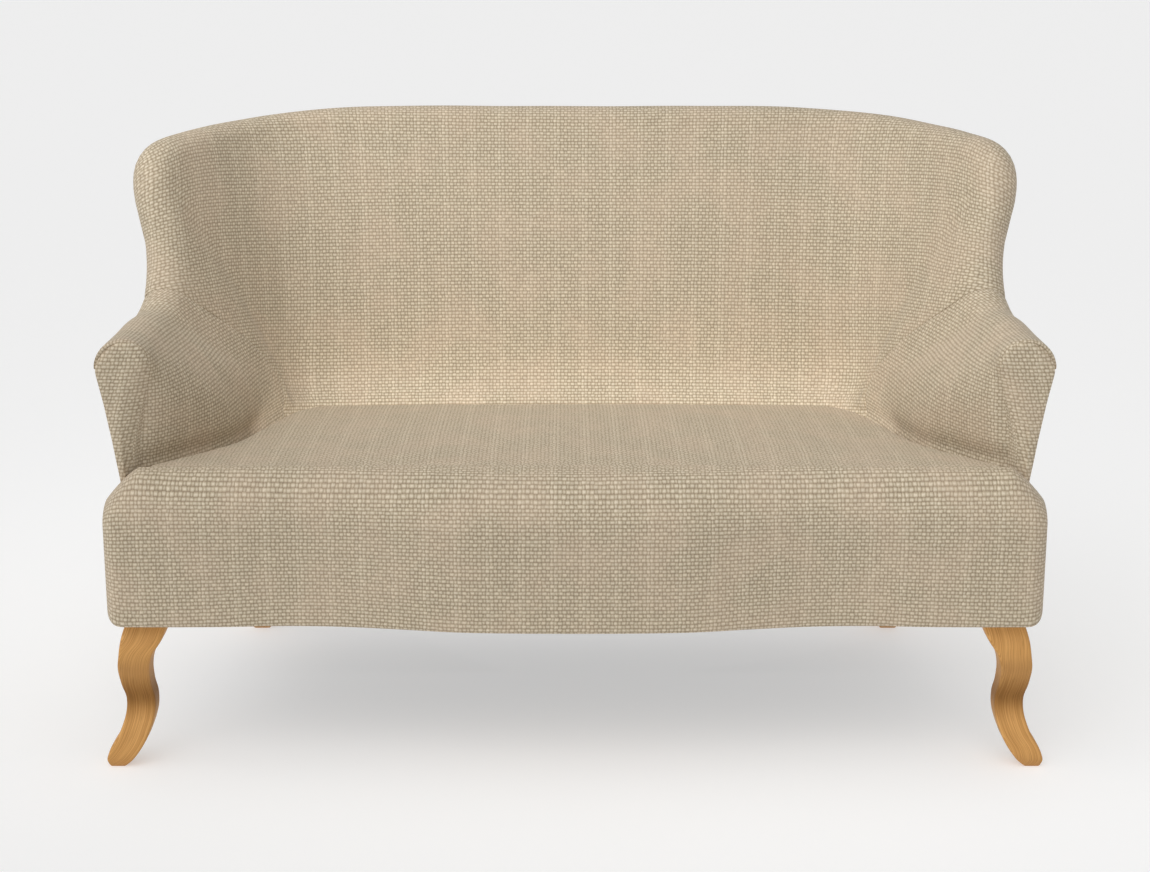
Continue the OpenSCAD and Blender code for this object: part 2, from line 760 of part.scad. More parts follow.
// Padded front: face, rounded nose and ears in front of the arms
function front_top(x) =
    let(over = clamp((abs(x) - front_w / 2 + ear_r) / ear_r) * ear_r)
    seat_h - side_fall(x) - ear_r + sqrt(ear_r * ear_r - over * over);
function front_hem(x) =
    let(over = clamp((abs(x) - front_w / 2 + hem_end_r) / hem_end_r) * hem_end_r)
    leg_h + gap + hem_end_r - sqrt(hem_end_r * hem_end_r - over * over);
function front_path(x) =
    let(y = front_face_y(x))
    let(top = front_top(x))
    let(low = front_hem(x))
    let(nose = min(seat_h - nose_h, top - hem_r))
    concat(
        [
            [x, y + hem_r, low], [x, y + 0.3 * hem_r, low + 0.3 * hem_r], [x, y, low + hem_r],
            [x, y, mix(low + hem_r, nose, 0.5)]
        ],
        [for (k = [0:nose_n])
            let(f = 90 * k / nose_n)
            [x, mix(seam_y, y, cos(f)), mix(nose, top, sin(f))]]
    );
function front_back_path(x) =
    let(y = abs(x) > rail_half + gap ? rail_back_y : min(rail_front_y - gap, front_face_y(x) + front_pad - gap))
    let(low = front_hem(x))
    concat(
        [[x, y, low], [x, y, rail_top]],
        [for (k = [0:nose_n + 2]) [x, seam_y, mix(rail_top, front_top(x), k / (nose_n + 3))]]
    );
module front_border() {
    end = rail_half + 3 * gap;
    right = concat(
        [rail_half + gap / 2, end],
        [for (f = ear_angles) front_w / 2 - ear_r + ear_r * sin(f)]
    );
    xs = concat(
        [for (i = [len(right) - 1:-1:0]) -right[i]],
        front_xs,
        right
    );
    color(cloth)
        band([for (x = xs) front_path(x)], [for (x = xs) front_back_path(x)]);
}

// Padded covers of the back and arms
module inside_back() {
    places = mirrored(back_places);
    color(cloth)
        band(
            [for (s = places) inside_path(s, 0, 0)],
            [for (s = places) inside_path(s, pad_t, roll_pad)]
        );
}
module inside_arm_right() {
    color(cloth)
        band(
            [for (s = arm_places) inside_path(s, 0, 0)],
            [for (s = arm_places) inside_path(s, pad_t, roll_pad)]
        );
}
module inside_arm_left() {
    mirror([1, 0, 0]) inside_arm_right();
}
module arm_facing_right() {
    color(cloth)
        translate([0, arm_y - gap, 0])
        rotate([90, 0, 0])
        linear_extrude(facing_t - gap)
        intersection() {
            polygon(concat(
                [for (p = inside_path(last, facing_in, facing_in)) [p[0], p[2]]],
                [for (p = outside_path(last, facing_in)) [p[0], p[2]]]
            ));
            translate([0, rail_top + gap])
                square([half_w, arm_h]);
        }
}
module arm_facing_left() {
    mirror([1, 0, 0]) arm_facing_right();
}
module outside_arm_right() {
    places = concat([back_end + joint_step], [for (s = back_places) if (s > back_end) s], arm_places);
    color(cloth)
        band(
            [for (s = places) outside_path(s, 0)],
            [for (s = places) outside_path(s, panel_t)]
        );
}
module outside_arm_left() {
    mirror([1, 0, 0]) outside_arm_right();
}
module outside_back() {
    half = concat([for (s = back_places) if (s < back_end) s], [back_end - joint_step]);
    places = mirrored(half);
    color(cloth)
        band(
            [for (s = places) outside_path(s, 0)],
            [for (s = places) outside_path(s, panel_t)]
        );
}
module dust_cover() {
    outline = [for (s = evenly(-last, last, 40)) foot_in(s, panel_t + dust_in)];
    color(black)
        difference() {
            translate([0, 0, rail_z - dust_t - gap / 3])
                linear_extrude(dust_t)
                polygon(outline);
            for (p = leg_tops) translate([p[0] - leg_w / 2, p[1] - leg_w / 2, leg_h - plate_t])
                cube([leg_w, leg_w, 3 * plate_t]);
        }
}

front_rail();
bow_block();
back_rail();
side_rail_left();
side_rail_right();
centre_rail();
corner_blocks();
leg_plates();
plate_screws();
leg_bolts();
front_leg_left();
front_leg_right();
rear_leg_left();
rear_leg_right();
arm_post_left();
arm_post_right();
arm_rail_left();
arm_rail_right();
wing_post_left();
wing_post_right();
wing_frame_left();
wing_frame_right();
top_rail();
back_post_left();
back_post_right();
back_post_centre();
back_tuck_rail();
arm_tuck_rail_left();
arm_tuck_rail_right();
seat_springs();
spring_clips();
tie_wires();
spring_cover();
back_webbing();
seat_pad();
front_border();
inside_back();
inside_arm_left();
inside_arm_right();
arm_facing_left();
arm_facing_right();
outside_arm_left();
outside_arm_right();
outside_back();
dust_cover();
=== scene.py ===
# High back settee in a chunky basket weave, with curved wings, flared arms and oak cabriole legs
import math
import bmesh
import bpy
import numpy as np
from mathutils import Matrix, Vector


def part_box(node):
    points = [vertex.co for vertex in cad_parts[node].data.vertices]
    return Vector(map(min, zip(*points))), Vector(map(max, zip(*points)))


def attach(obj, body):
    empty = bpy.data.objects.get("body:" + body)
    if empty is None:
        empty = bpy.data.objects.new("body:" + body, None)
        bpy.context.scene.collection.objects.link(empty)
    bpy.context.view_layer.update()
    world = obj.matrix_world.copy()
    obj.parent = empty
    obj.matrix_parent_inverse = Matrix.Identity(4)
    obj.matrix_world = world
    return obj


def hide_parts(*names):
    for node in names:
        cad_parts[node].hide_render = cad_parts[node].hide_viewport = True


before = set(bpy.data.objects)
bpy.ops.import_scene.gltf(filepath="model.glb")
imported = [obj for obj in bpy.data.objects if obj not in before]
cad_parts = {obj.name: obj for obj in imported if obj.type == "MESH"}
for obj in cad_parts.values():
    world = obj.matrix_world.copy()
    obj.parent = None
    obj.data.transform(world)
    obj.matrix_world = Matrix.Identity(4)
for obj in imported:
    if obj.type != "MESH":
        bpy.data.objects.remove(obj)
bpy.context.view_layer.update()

mm = 0.001  # lengths below are in millimetres, meshes in metres


def nodeBox(name):
    low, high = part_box(name)
    return np.array(low) / mm, np.array(high) / mm


# Sizes of the body, the same real sizes that the frame was built from
body = {
    "width": 1400, "depth": 774, "height": 923,
    "seatHeight": 460, "seatFall": 19, "seatBackIn": 214, "frontRoll": 95,
    "frontIn": 11, "frontBow": 29, "noseHeight": 80, "frontPad": 38,
    "armHeight": 648, "armRoll": 44, "armWidth": 64, "armFlare": 58, "facing": 12,
    "crownRoll": 42, "wingRoll": 36, "backFootIn": 105,
    "pad": 55, "rollPad": 16, "panel": 4, "gap": 0.3,
}
# Shape line of the rolled edge from the middle of the back to the front of the arm:
# shares of the arm's width, of the depth and of the rise from arm to crown
edgeShares = np.array([
    [0, 1, 1], [0.457, 1, 1], [0.625, 0.994, 0.989], [0.762, 0.95, 0.968], [0.873, 0.861, 0.943],
    [0.955, 0.72, 0.92], [1.01, 0.595, 0.877], [1.008, 0.547, 0.712], [0.983, 0.509, 0.512],
    [0.971, 0.467, 0.32], [0.971, 0.413, 0.16], [0.983, 0.323, 0.04], [0.994, 0.208, 0.021],
    [1, 0.088, 0], [1, 0, 0],
])
# Where back and arms meet the seat, shares of the arm gap and of the seat's depth
seatLineShares = np.array([
    [0, 1], [0.4717, 1], [0.6211, 0.9845], [0.6682, 0.9669], [0.6918, 0.9492], [0.7075, 0.9293],
    [0.7186, 0.9094], [0.7264, 0.8918], [0.7327, 0.8741], [0.739, 0.8586], [0.7453, 0.8387],
    [0.7704, 0.7173], [0.805, 0.5074], [0.8569, 0.2865], [1, 0],
])
# Lower edge of the outside panels, shares of the body's width and depth
footShares = np.array([
    [0, 1], [0.4717, 1], [0.6289, 1], [0.7704, 0.9964], [0.8538, 0.9822], [0.9088, 0.9377],
    [0.9355, 0.8807], [0.9544, 0.8184], [0.9654, 0.765], [0.9733, 0.7027], [0.9811, 0.6226],
    [0.989, 0.498], [0.9937, 0.3377], [0.9984, 0.1597], [1, 0],
])
bowShares = np.array([1, 0.96, 0.8, 0.33, -0.07, -0.18, -0.02, 0.02, 0])
# Places along the shape line, counted in its points
lastPlace = len(edgeShares) - 1
backEnd, wingStart, wingEnd = 4, 3, 10
crownRollEnd, wingRollAt, armRollAt = 2, 8, 13  # the roll's radius passes from one to the next between these
footShare, wingReachShare, wingRiseShare = 0.3, 0.05, 0.4  # how the inside face leaves the seat
nextTo = 0.05  # step along the shape line that gives its direction

halfW, halfD = body["width"] / 2, body["depth"] / 2
seamY = body["frontRoll"] - halfD
armY = seamY + body["gap"] + body["facing"]
seatBackY = halfD - body["seatBackIn"]
crownY = halfD - body["crownRoll"]
footY = halfD - body["backFootIn"]
armAxisX = halfW - body["armRoll"]
armAxisZ = body["armHeight"] - body["armRoll"]
crownAxisZ = body["height"] - body["crownRoll"]
frontY = body["frontBow"] - halfD
frontHalf = halfW - body["frontIn"]
armGapHalf = halfW - body["armWidth"]
bodyHalf = halfW - body["armFlare"]
railLow = nodeBox("front_rail")[0][2]
railTop = nodeBox("front_rail")[1][2]
legTop = nodeBox("front_leg_right")[1][2]
tuckZ = nodeBox("arm_tuck_rail_right")[1][2]
deckZ = nodeBox("seat_pad")[0][2]


def unit(v):
    return v / np.linalg.norm(v)


def mix(a, b, t):
    return a + (b - a) * t


def clamp(t):
    return min(1.0, max(0.0, t))


def through(points, s):
    # smooth curve through a list, at a place counted in its points
    last = len(points) - 1
    i = min(max(math.floor(s), 0), last - 1)
    t = s - i
    b, c = points[i], points[i + 1]
    a = points[i - 1] if i > 0 else 2 * b - c
    d = points[i + 2] if i + 2 <= last else 2 * c - b
    return b + ((c - a) * t + (2 * a - 5 * b + 4 * c - d) * t ** 2 + (3 * b - a - 3 * c + d) * t ** 3) / 2


def sided(p, s):
    return p * np.array([-1, 1, 1]) if s < 0 else p


def edgeAxis(s):
    q = through(edgeShares, abs(s))
    p = [q[0] * armAxisX, mix(armY, crownY, q[1]), mix(armAxisZ, crownAxisZ, q[2])]
    return sided(np.array(p), s)


def edgeRadius(s):
    if abs(s) < wingRollAt:
        share = (abs(s) - crownRollEnd) / (wingRollAt - crownRollEnd)
        return mix(body["crownRoll"], body["wingRoll"], clamp(share))
    return mix(body["wingRoll"], body["armRoll"], clamp((abs(s) - wingRollAt) / (armRollAt - wingRollAt)))


def seatLine(s):
    q = through(seatLineShares, abs(s))
    z = body["seatHeight"] - body["seatFall"] * clamp(q[1])
    return sided(np.array([q[0] * armGapHalf, mix(armY, seatBackY, q[1]), z]), s)


def footLine(s):
    q = through(footShares, abs(s))
    return sided(np.array([q[0] * bodyHalf, mix(armY, footY, q[1]), railLow]), s)


def along(s):
    return unit(edgeAxis(s + nextTo) - edgeAxis(s - nextTo))


def away(s, p):
    v, t = p - edgeAxis(s), along(s)
    return unit(v - (v @ t) * t)


def inNormal(s):
    return -np.cross(along(s), away(s, seatLine(s)))


def outNormal(s):
    return np.cross(along(s), away(s, footLine(s)))


def rollTurn(s):
    u, n = -away(s, seatLine(s)), outNormal(s)
    return math.atan2(n @ u, n @ inNormal(s)) % (2 * math.pi)


def planUnit(v):
    return unit(np.array([v[0], v[1], 0.0]))


def wingPart(s):
    return math.sin(math.pi * clamp((abs(s) - wingStart) / (wingEnd - wingStart)))


def footInward(s):
    t = planUnit(footLine(s + nextTo) - footLine(s - nextTo))
    return np.array([t[1], -t[0], 0.0])


def outsideEnds(s, deep):
    top = edgeAxis(s) + (edgeRadius(s) - deep) * outNormal(s)
    low = footLine(s) + deep * footInward(s)
    return top, low


def outsideAt(s, z, deep):
    top, low = outsideEnds(s, deep)
    return mix(top, low, (top[2] - z) / (top[2] - low[2]))


def evenAlong(points, shares):
    # points of a curve at shares of its own length
    steps = np.linalg.norm(np.diff(points, axis=0), axis=1)
    run = np.concatenate([[0], np.cumsum(steps)])
    return np.stack([np.interp(np.array(shares) * run[-1], run, points[:, i]) for i in range(3)], 1)


# Rows of a padded cover, shares of the tucked foot, of the rise and of the roll
coverRows = {
    "tuck": [0, 0.45, 0.8, 0.93],
    "rise": [0, 0.008, 0.02, 0.036, *np.linspace(0.056, 1, 46)],
    "roll": [*np.linspace(0.06, 0.94, 15), 0.97, 1],
}


def insidePath(s, low, high):
    # up the inside face and over the roll, sunk by low at the foot and by high at the roll
    base = seatLine(s)
    across = outsideAt(s, base[2], 0) - base
    room = footShare * np.linalg.norm(across)
    deep = min(low, room * min(1, low / body["pad"]) + max(0, low - body["pad"]))
    a = base + deep * planUnit(across)
    r = edgeRadius(s) - high
    n, v = inNormal(s), away(s, base)
    d = edgeAxis(s) + r * n
    reach = np.linalg.norm(d - a) / 3
    b = a + np.array([0, 0, mix(1, wingRiseShare, wingPart(s)) * reach])
    c = d + mix(1, wingReachShare, wingPart(s)) * reach * v
    t = np.linspace(0, 1, 97)[:, None]
    rise = a * (1 - t) ** 3 + 3 * b * (1 - t) ** 2 * t + 3 * c * (1 - t) * t ** 2 + d * t ** 3
    foot = np.array([a[0], a[1], tuckZ + body["gap"]])
    tuck = np.array([mix(foot, a, q) for q in coverRows["tuck"]])
    f = rollTurn(s) * np.array(coverRows["roll"])[:, None]
    roll = edgeAxis(s) + r * (np.cos(f) * n - np.sin(f) * v)
    return np.concatenate([tuck, evenAlong(rise, coverRows["rise"]), roll])


seatRow = len(coverRows["tuck"])  # the row that lies on the seat line
rollRow = seatRow + len(coverRows["rise"]) - 1  # the row where the roll starts


def evenPlaces(first, last, pitch, ends=()):
    # places along the shape line a pitch apart, with extra ones close to the seams
    s = np.linspace(first, last, 400)
    mid = np.array([(edgeAxis(q) + seatLine(q)) / 2 for q in s])
    run = np.concatenate([[0], np.cumsum(np.linalg.norm(np.diff(mid, axis=0), axis=1))])
    count = max(4, round(run[-1] / pitch))
    at = np.linspace(0, run[-1], count + 1)
    at = np.unique([*at, *ends, *[run[-1] - e for e in ends]])
    return np.interp(at, run, s)


def units(grid):
    return grid / np.maximum(np.linalg.norm(grid, axis=2, keepdims=True), 1e-9)


def normalsOf(grid):
    return units(np.cross(np.gradient(grid, axis=0), np.gradient(grid, axis=1)))


def raised(grid, relief):
    return grid + normalsOf(grid) * relief[..., None]


def wayUp(grid):
    return units(np.gradient(grid, axis=1))


def flatGrid(x, y, z):
    return np.stack([x, np.broadcast_to(y, x.shape), np.broadcast_to(z, x.shape)], 2)


def lengths(grid, axis):
    # running length along one way of a grid
    steps = np.linalg.norm(np.diff(grid, axis=axis), axis=2)
    pad = [(1, 0), (0, 0)] if axis == 0 else [(0, 0), (1, 0)]
    return np.pad(np.cumsum(steps, axis=axis), pad)


def weaveMap(grid, column, row):
    # thread lengths along the grid from one column and one row
    u, v = lengths(grid, 0), lengths(grid, 1)
    return np.stack([u - u[column:column + 1, :], v - v[:, row:row + 1]], 2)


mostTurns, closeEnough, slack = 900, 1e-4, 0.5  # when the cloth counts as settled, and mm added to short steps


def settle(start, stepsU, stepsV, stiffU, stiffV):
    # values whose steps between neighbours come as close as they can to the wanted ones
    def gather(alongU, alongV):
        total = np.zeros_like(start)
        total[1:] += alongU
        total[:-1] -= alongU
        total[:, 1:] += alongV
        total[:, :-1] -= alongV
        return total

    def apply(f):
        return gather(stiffU * np.diff(f, axis=0), stiffV * np.diff(f, axis=1))

    weight = np.zeros_like(start)
    for part in (weight[1:], weight[:-1]):
        part += stiffU
    for part in (weight[:, 1:], weight[:, :-1]):
        part += stiffV
    values = start.copy()
    rest = gather(stiffU * stepsU, stiffV * stepsV) - apply(values)
    way = rest / weight
    size = (rest * way).sum()
    for turn in range(mostTurns):
        pulled = apply(way)
        share = size / (way * pulled).sum()
        values += share * way
        rest -= share * pulled
        if np.abs(rest).max() < closeEnough:
            break
        scaled = rest / weight
        new = (rest * scaled).sum()
        way, size = scaled + new / size * way, new
    return values


def layWeave(grid, up, column, row, drawn=1.0):
    # lays the cloth with its rows square to the way up, sheared or drawn as little as the shape allows
    n = normalsOf(grid)
    up = units(up - (up * n).sum(2, keepdims=True) * n)
    stepU, stepV = np.diff(grid, axis=0), np.diff(grid, axis=1)
    lengthU, lengthV = np.linalg.norm(stepU, axis=2), np.linalg.norm(stepV, axis=2)
    crossU, crossV = lengthV.mean(), lengthU.mean()
    start = weaveMap(grid, column, row)
    maps = []
    for i, way in enumerate((np.cross(up, n), up)):
        way = way * (drawn if i else 1.0)
        wantU = (stepU * (way[1:] + way[:-1]) / 2).sum(2)
        wantV = (stepV * (way[:, 1:] + way[:, :-1]) / 2).sum(2)
        field = settle(start[..., i], wantU, wantV, crossU / (lengthU + slack), crossV / (lengthV + slack))
        maps.append(field - field[column, row])
    return np.stack(maps, 2)


# Where the rows pass from level to along the edge: by the edge's climb, and by rows of the grid at the roll
rowTurn = {"climb": 0.35, "climbOver": 0.45, "ahead": 6, "over": 8, "lean": 0.1}


def rowsUp(grid, places, tilt=0, s=rowTurn):
    # the rows lie level on the faces and on the wings' edges, and run along the edge over the crown and arms
    path = wayUp(grid)
    climb = np.array([abs(along(p)[2]) for p in places])
    climb = np.clip((climb - s["climb"]) / s["climbOver"], 0, 1)[:, None, None]
    over = np.clip((np.arange(grid.shape[1]) - rollRow + s["ahead"]) / s["over"], 0, 1)[None, :, None]
    level = np.array([0.0, tilt, 1.0])
    return mix(level + s["lean"] * path, mix(path, level, climb), over)


def coverGrids(places):
    # outer and inner grid of a padded cover
    sinks = ((0, 0), (body["pad"], body["rollPad"]))
    return [np.array([insidePath(p, *sunk) for p in places]) for sunk in sinks]


def upFace(v):
    # length of the inside face, and the height on it as a share, 0 on the seat line and 1 at the roll
    face = v[:, rollRow:rollRow + 1] - v[:, seatRow:seatRow + 1]
    return face, (v - v[:, seatRow:seatRow + 1]) / face


lumpWaves, lumpLengths = 7, (90, 260)  # waves in a padding, and how long they are in mm


def unevenness(grid, size, seed):
    # soft lumps of the padding: a few broad waves, the same each run
    rng = np.random.default_rng(seed)
    total = np.zeros(grid.shape[:2])
    for wave in range(lumpWaves):
        way = unit(rng.normal(size=3))
        length = rng.uniform(*lumpLengths)
        total += np.sin(grid @ way * 2 * math.pi / length + rng.uniform(0, 6.28))
    return size * total / 3


def makeMesh(name, points, faces, uv, layer="weave"):
    mesh = bpy.data.meshes.new(name)
    mesh.from_pydata((points * mm).tolist(), [], faces)
    mesh.update()
    mesh.polygons.foreach_set("use_smooth", [True] * len(mesh.polygons))
    corner = np.zeros(len(mesh.loops), np.int32)
    mesh.loops.foreach_get("vertex_index", corner)
    mesh.uv_layers.new(name=layer).uv.foreach_set("vector", (uv[corner] * mm).astype(np.float32).ravel())
    piece = bpy.data.objects.new(name, mesh)
    bpy.context.scene.collection.objects.link(piece)
    return piece


def shell(name, outer, inner, uv, rim=(0.06, 0.2, 0.6), smooth=1):
    # closed body between two grids. Seen from outside, the first way runs right and the second up
    m, n = outer.shape[:2]
    index = np.arange(m * n).reshape(m, n)
    quads = np.stack([index[:-1, :-1], index[1:, :-1], index[1:, 1:], index[:-1, 1:]], 2).reshape(-1, 4)
    edge = [(j, 0, 0, -1) for j in range(m - 1)] + [(m - 1, k, 1, 0) for k in range(n - 1)]
    edge += [(j, n - 1, 0, 1) for j in range(m - 1, 0, -1)] + [(0, k, -1, 0) for k in range(n - 1, 0, -1)]
    ring = np.array([index[j, k] for j, k, _, _ in edge])
    way = np.array([[a, b] for _, _, a, b in edge], float)
    out, back = outer.reshape(-1, 3), inner.reshape(-1, 3)
    flat = uv.reshape(-1, 2)
    deep = np.linalg.norm(back[ring] - out[ring], axis=1)[:, None]
    points = [out, back] + [mix(out[ring], back[ring], q) for q in rim]
    maps = [flat, flat] + [flat[ring] + way * deep * q for q in rim]
    loops = [ring] + [2 * m * n + i * len(ring) + np.arange(len(ring)) for i in range(len(rim))]
    loops.append(ring + m * n)
    faces = quads.tolist() + (quads[:, ::-1] + m * n).tolist()
    for a, b in zip(loops, loops[1:]):
        faces += np.stack([a, b, np.roll(b, -1), np.roll(a, -1)], 1).tolist()
    piece = makeMesh(name, np.concatenate(points), faces, np.concatenate(maps))
    if smooth:
        finish = piece.modifiers.new("smooth", "SUBSURF")
        finish.levels = finish.render_levels = smooth
    return piece


def bothSides(name, outer, inner, uv, **how):
    # the right piece and its mirror image
    flip, back = np.array([-1, 1, 1]), np.array([-1, 1])
    return [shell(name + "Right", outer, inner, uv, **how),
            shell(name + "Left", outer[::-1] * flip, inner[::-1] * flip, uv[::-1] * back, **how)]


def bump(distance, width):
    return np.exp(-((distance / width) ** 2))


# Back and wings: one cover over the padding and its straps, creased where it meets seat and arms
backCover = {
    "pitch": 10, "seamDepth": 1.5, "seamWidth": 6, "tuckDepth": 4, "tuckWidth": 6, "fullness": 3,
    "lumps": 0.7, "seed": 3, "tilt": 0.28,
    "coveDepth": 24, "coveHeight": 62, "coveShape": 1.2, "coveEnd": 9, "coveFade": 5,  # hollow above the seat
    "coveLip": 7, "lipShare": 0.3, "topEase": 9, "easeFrom": 0.6, "easeTo": 1.2, "easeEnd": 6, "easeFade": 3,
}


def makeInsideBack(s=backCover):
    places = evenPlaces(-wingEnd + 0.01, wingEnd - 0.01, s["pitch"], (2.5, 5.5))
    outer, inner = coverGrids(places)
    u, v = lengths(outer, 0), lengths(outer, 1)
    fromSeam = np.minimum(u, u[-1:, :] - u)
    fromSeat = np.abs(v - v[:, seatRow:seatRow + 1])
    face, height = upFace(v)
    onFace = np.clip(height, 0, 1)
    relief = s["fullness"] * np.sin(np.pi * onFace) - s["seamDepth"] * bump(fromSeam, s["seamWidth"])
    relief -= s["tuckDepth"] * bump(fromSeat, s["tuckWidth"])
    rise = onFace * face / s["coveHeight"]
    middle = np.clip((s["coveEnd"] - np.abs(places)) / s["coveFade"], 0, 1)[:, None]
    crown = np.clip((s["easeEnd"] - np.abs(places)) / s["easeFade"], 0, 1)[:, None]
    relief -= middle * s["coveDepth"] * rise ** s["coveShape"] * np.exp(s["coveShape"] * (1 - rise))
    relief += middle * s["coveLip"] * bump(rise, s["lipShare"])
    ease = np.clip((height - s["easeFrom"]) / (1 - s["easeFrom"]), 0, 1) ** 2
    relief -= crown * s["topEase"] * ease * np.clip((s["easeTo"] - height) / (s["easeTo"] - 1), 0, 1)
    relief += unevenness(outer, s["lumps"], s["seed"]) * np.clip(height + 0.1, 0, 1)
    outer = raised(outer, relief)
    uv = layWeave(outer, rowsUp(outer, places, s["tilt"]), len(places) // 2, seatRow)
    return shell("insideBack", outer, inner, uv)


# Arms: the cover rounds off softly onto the facing inside, and with a tight edge over the top
armCover = {
    "pitch": 9, "seamDepth": 1.5, "seamWidth": 6, "creaseDepth": 1.2, "creaseWidth": 1.5,
    "tuckDepth": 6, "tuckWidth": 18, "fullness": 3, "fullFrom": 60, "lumps": 0.6, "lumpsFrom": 40, "seed": 5,
    "softRadius": 46, "tightRadius": 7, "softEnd": 0.56, "tightEnd": 0.76, "stand": 13.6, "under": 6,
    "steps": [0.3, 0.6, 0.85, 1], "lastTurn": 0.96, "lapDepth": 1.2,
}
cornerShare = 1 - math.cos(math.pi / 4)  # the corner is handed from arm to facing half way round


def frontSoftness(share, s=armCover):
    t = np.clip((s["tightEnd"] - share) / (s["tightEnd"] - s["softEnd"]), 0, 1)
    return t * t * (3 - 2 * t)


def makeInsideArms(s=armCover):
    places = evenPlaces(wingEnd - 0.03, lastPlace, s["pitch"], (1, 4))
    outer, inner = coverGrids(places)
    u, v = lengths(outer, 0), lengths(outer, 1)
    share = v[-1] / v[-1, -1]
    soft = frontSoftness(share)
    radius = mix(s["tightRadius"], s["softRadius"], soft)
    handOver = s["stand"] - cornerShare * radius
    ahead = (handOver + mix(0.6, s["under"], soft))[None] * np.array(s["steps"])[:, None]
    ahead = ahead * np.clip((1.02 - share) / 0.1, 0, 1) ** 0.5
    forward = np.concatenate([u - u[-1:], ahead])
    front = np.array([0.0, -1.0, 0.0])
    outer = np.concatenate([outer, outer[-1:] + ahead[..., None] * front])
    inner = np.concatenate([inner, inner[-1:] + np.array([0.1, 0.2, 0.3, 0.4])[:, None, None] * front])
    places = np.append(places, [lastPlace] * len(s["steps"]))
    last = -1 - len(s["steps"])  # the column where the arm ends and its turn onto the facing starts
    v = lengths(outer, 1)
    fromSeam = forward - forward[:1]
    fromSeat = np.abs(v - v[:, seatRow:seatRow + 1])
    _, height = upFace(v)
    full = np.sin(np.pi * np.clip(height, 0, 1)) * np.clip(-forward / s["fullFrom"], 0, 1)
    relief = s["fullness"] * full - s["seamDepth"] * bump(fromSeam, s["seamWidth"])
    relief -= s["creaseDepth"] * bump(fromSeam, s["creaseWidth"])
    relief -= s["tuckDepth"] * bump(fromSeat, s["tuckWidth"])
    relief += unevenness(outer, s["lumps"], s["seed"]) * np.clip(-forward / s["lumpsFrom"], 0, 1)
    turn = np.clip((forward + radius * (1 - cornerShare) - handOver) / radius, 0, s["lastTurn"])
    relief -= radius * (1 - np.sqrt(1 - turn ** 2)) + s["lapDepth"] * np.clip((forward - handOver) / 2, 0, 1)
    outer = raised(outer, relief)
    uv = layWeave(outer, rowsUp(outer, places), len(places) + last, seatRow)
    edge = np.column_stack([outer[last][:, [0, 2]], uv[last]])
    return bothSides("insideArm", outer, inner, uv), edge


# Facings: padded shapes on the front of the arms, a little fuller in the middle, with a lip over the roll
facingPad = {
    "columns": 30, "rows": 60, "topRows": 16, "top": 30, "crown": 1.6, "edge": 0.5, "wall": 1.2,
    "hook": 5, "hookShape": 0.6, "lip": 3.4, "lipWidth": 5, "lipFrom": 0.8, "lipFade": (0.08, 0.06),
}


def outsideHook(z, size):
    # how far the outside of the arm draws in between the roll and the foot
    t = np.clip((armAxisZ - z) / (armAxisZ - railLow), 0, 1)
    return size * np.sin(np.pi * t ** facingPad["hookShape"])


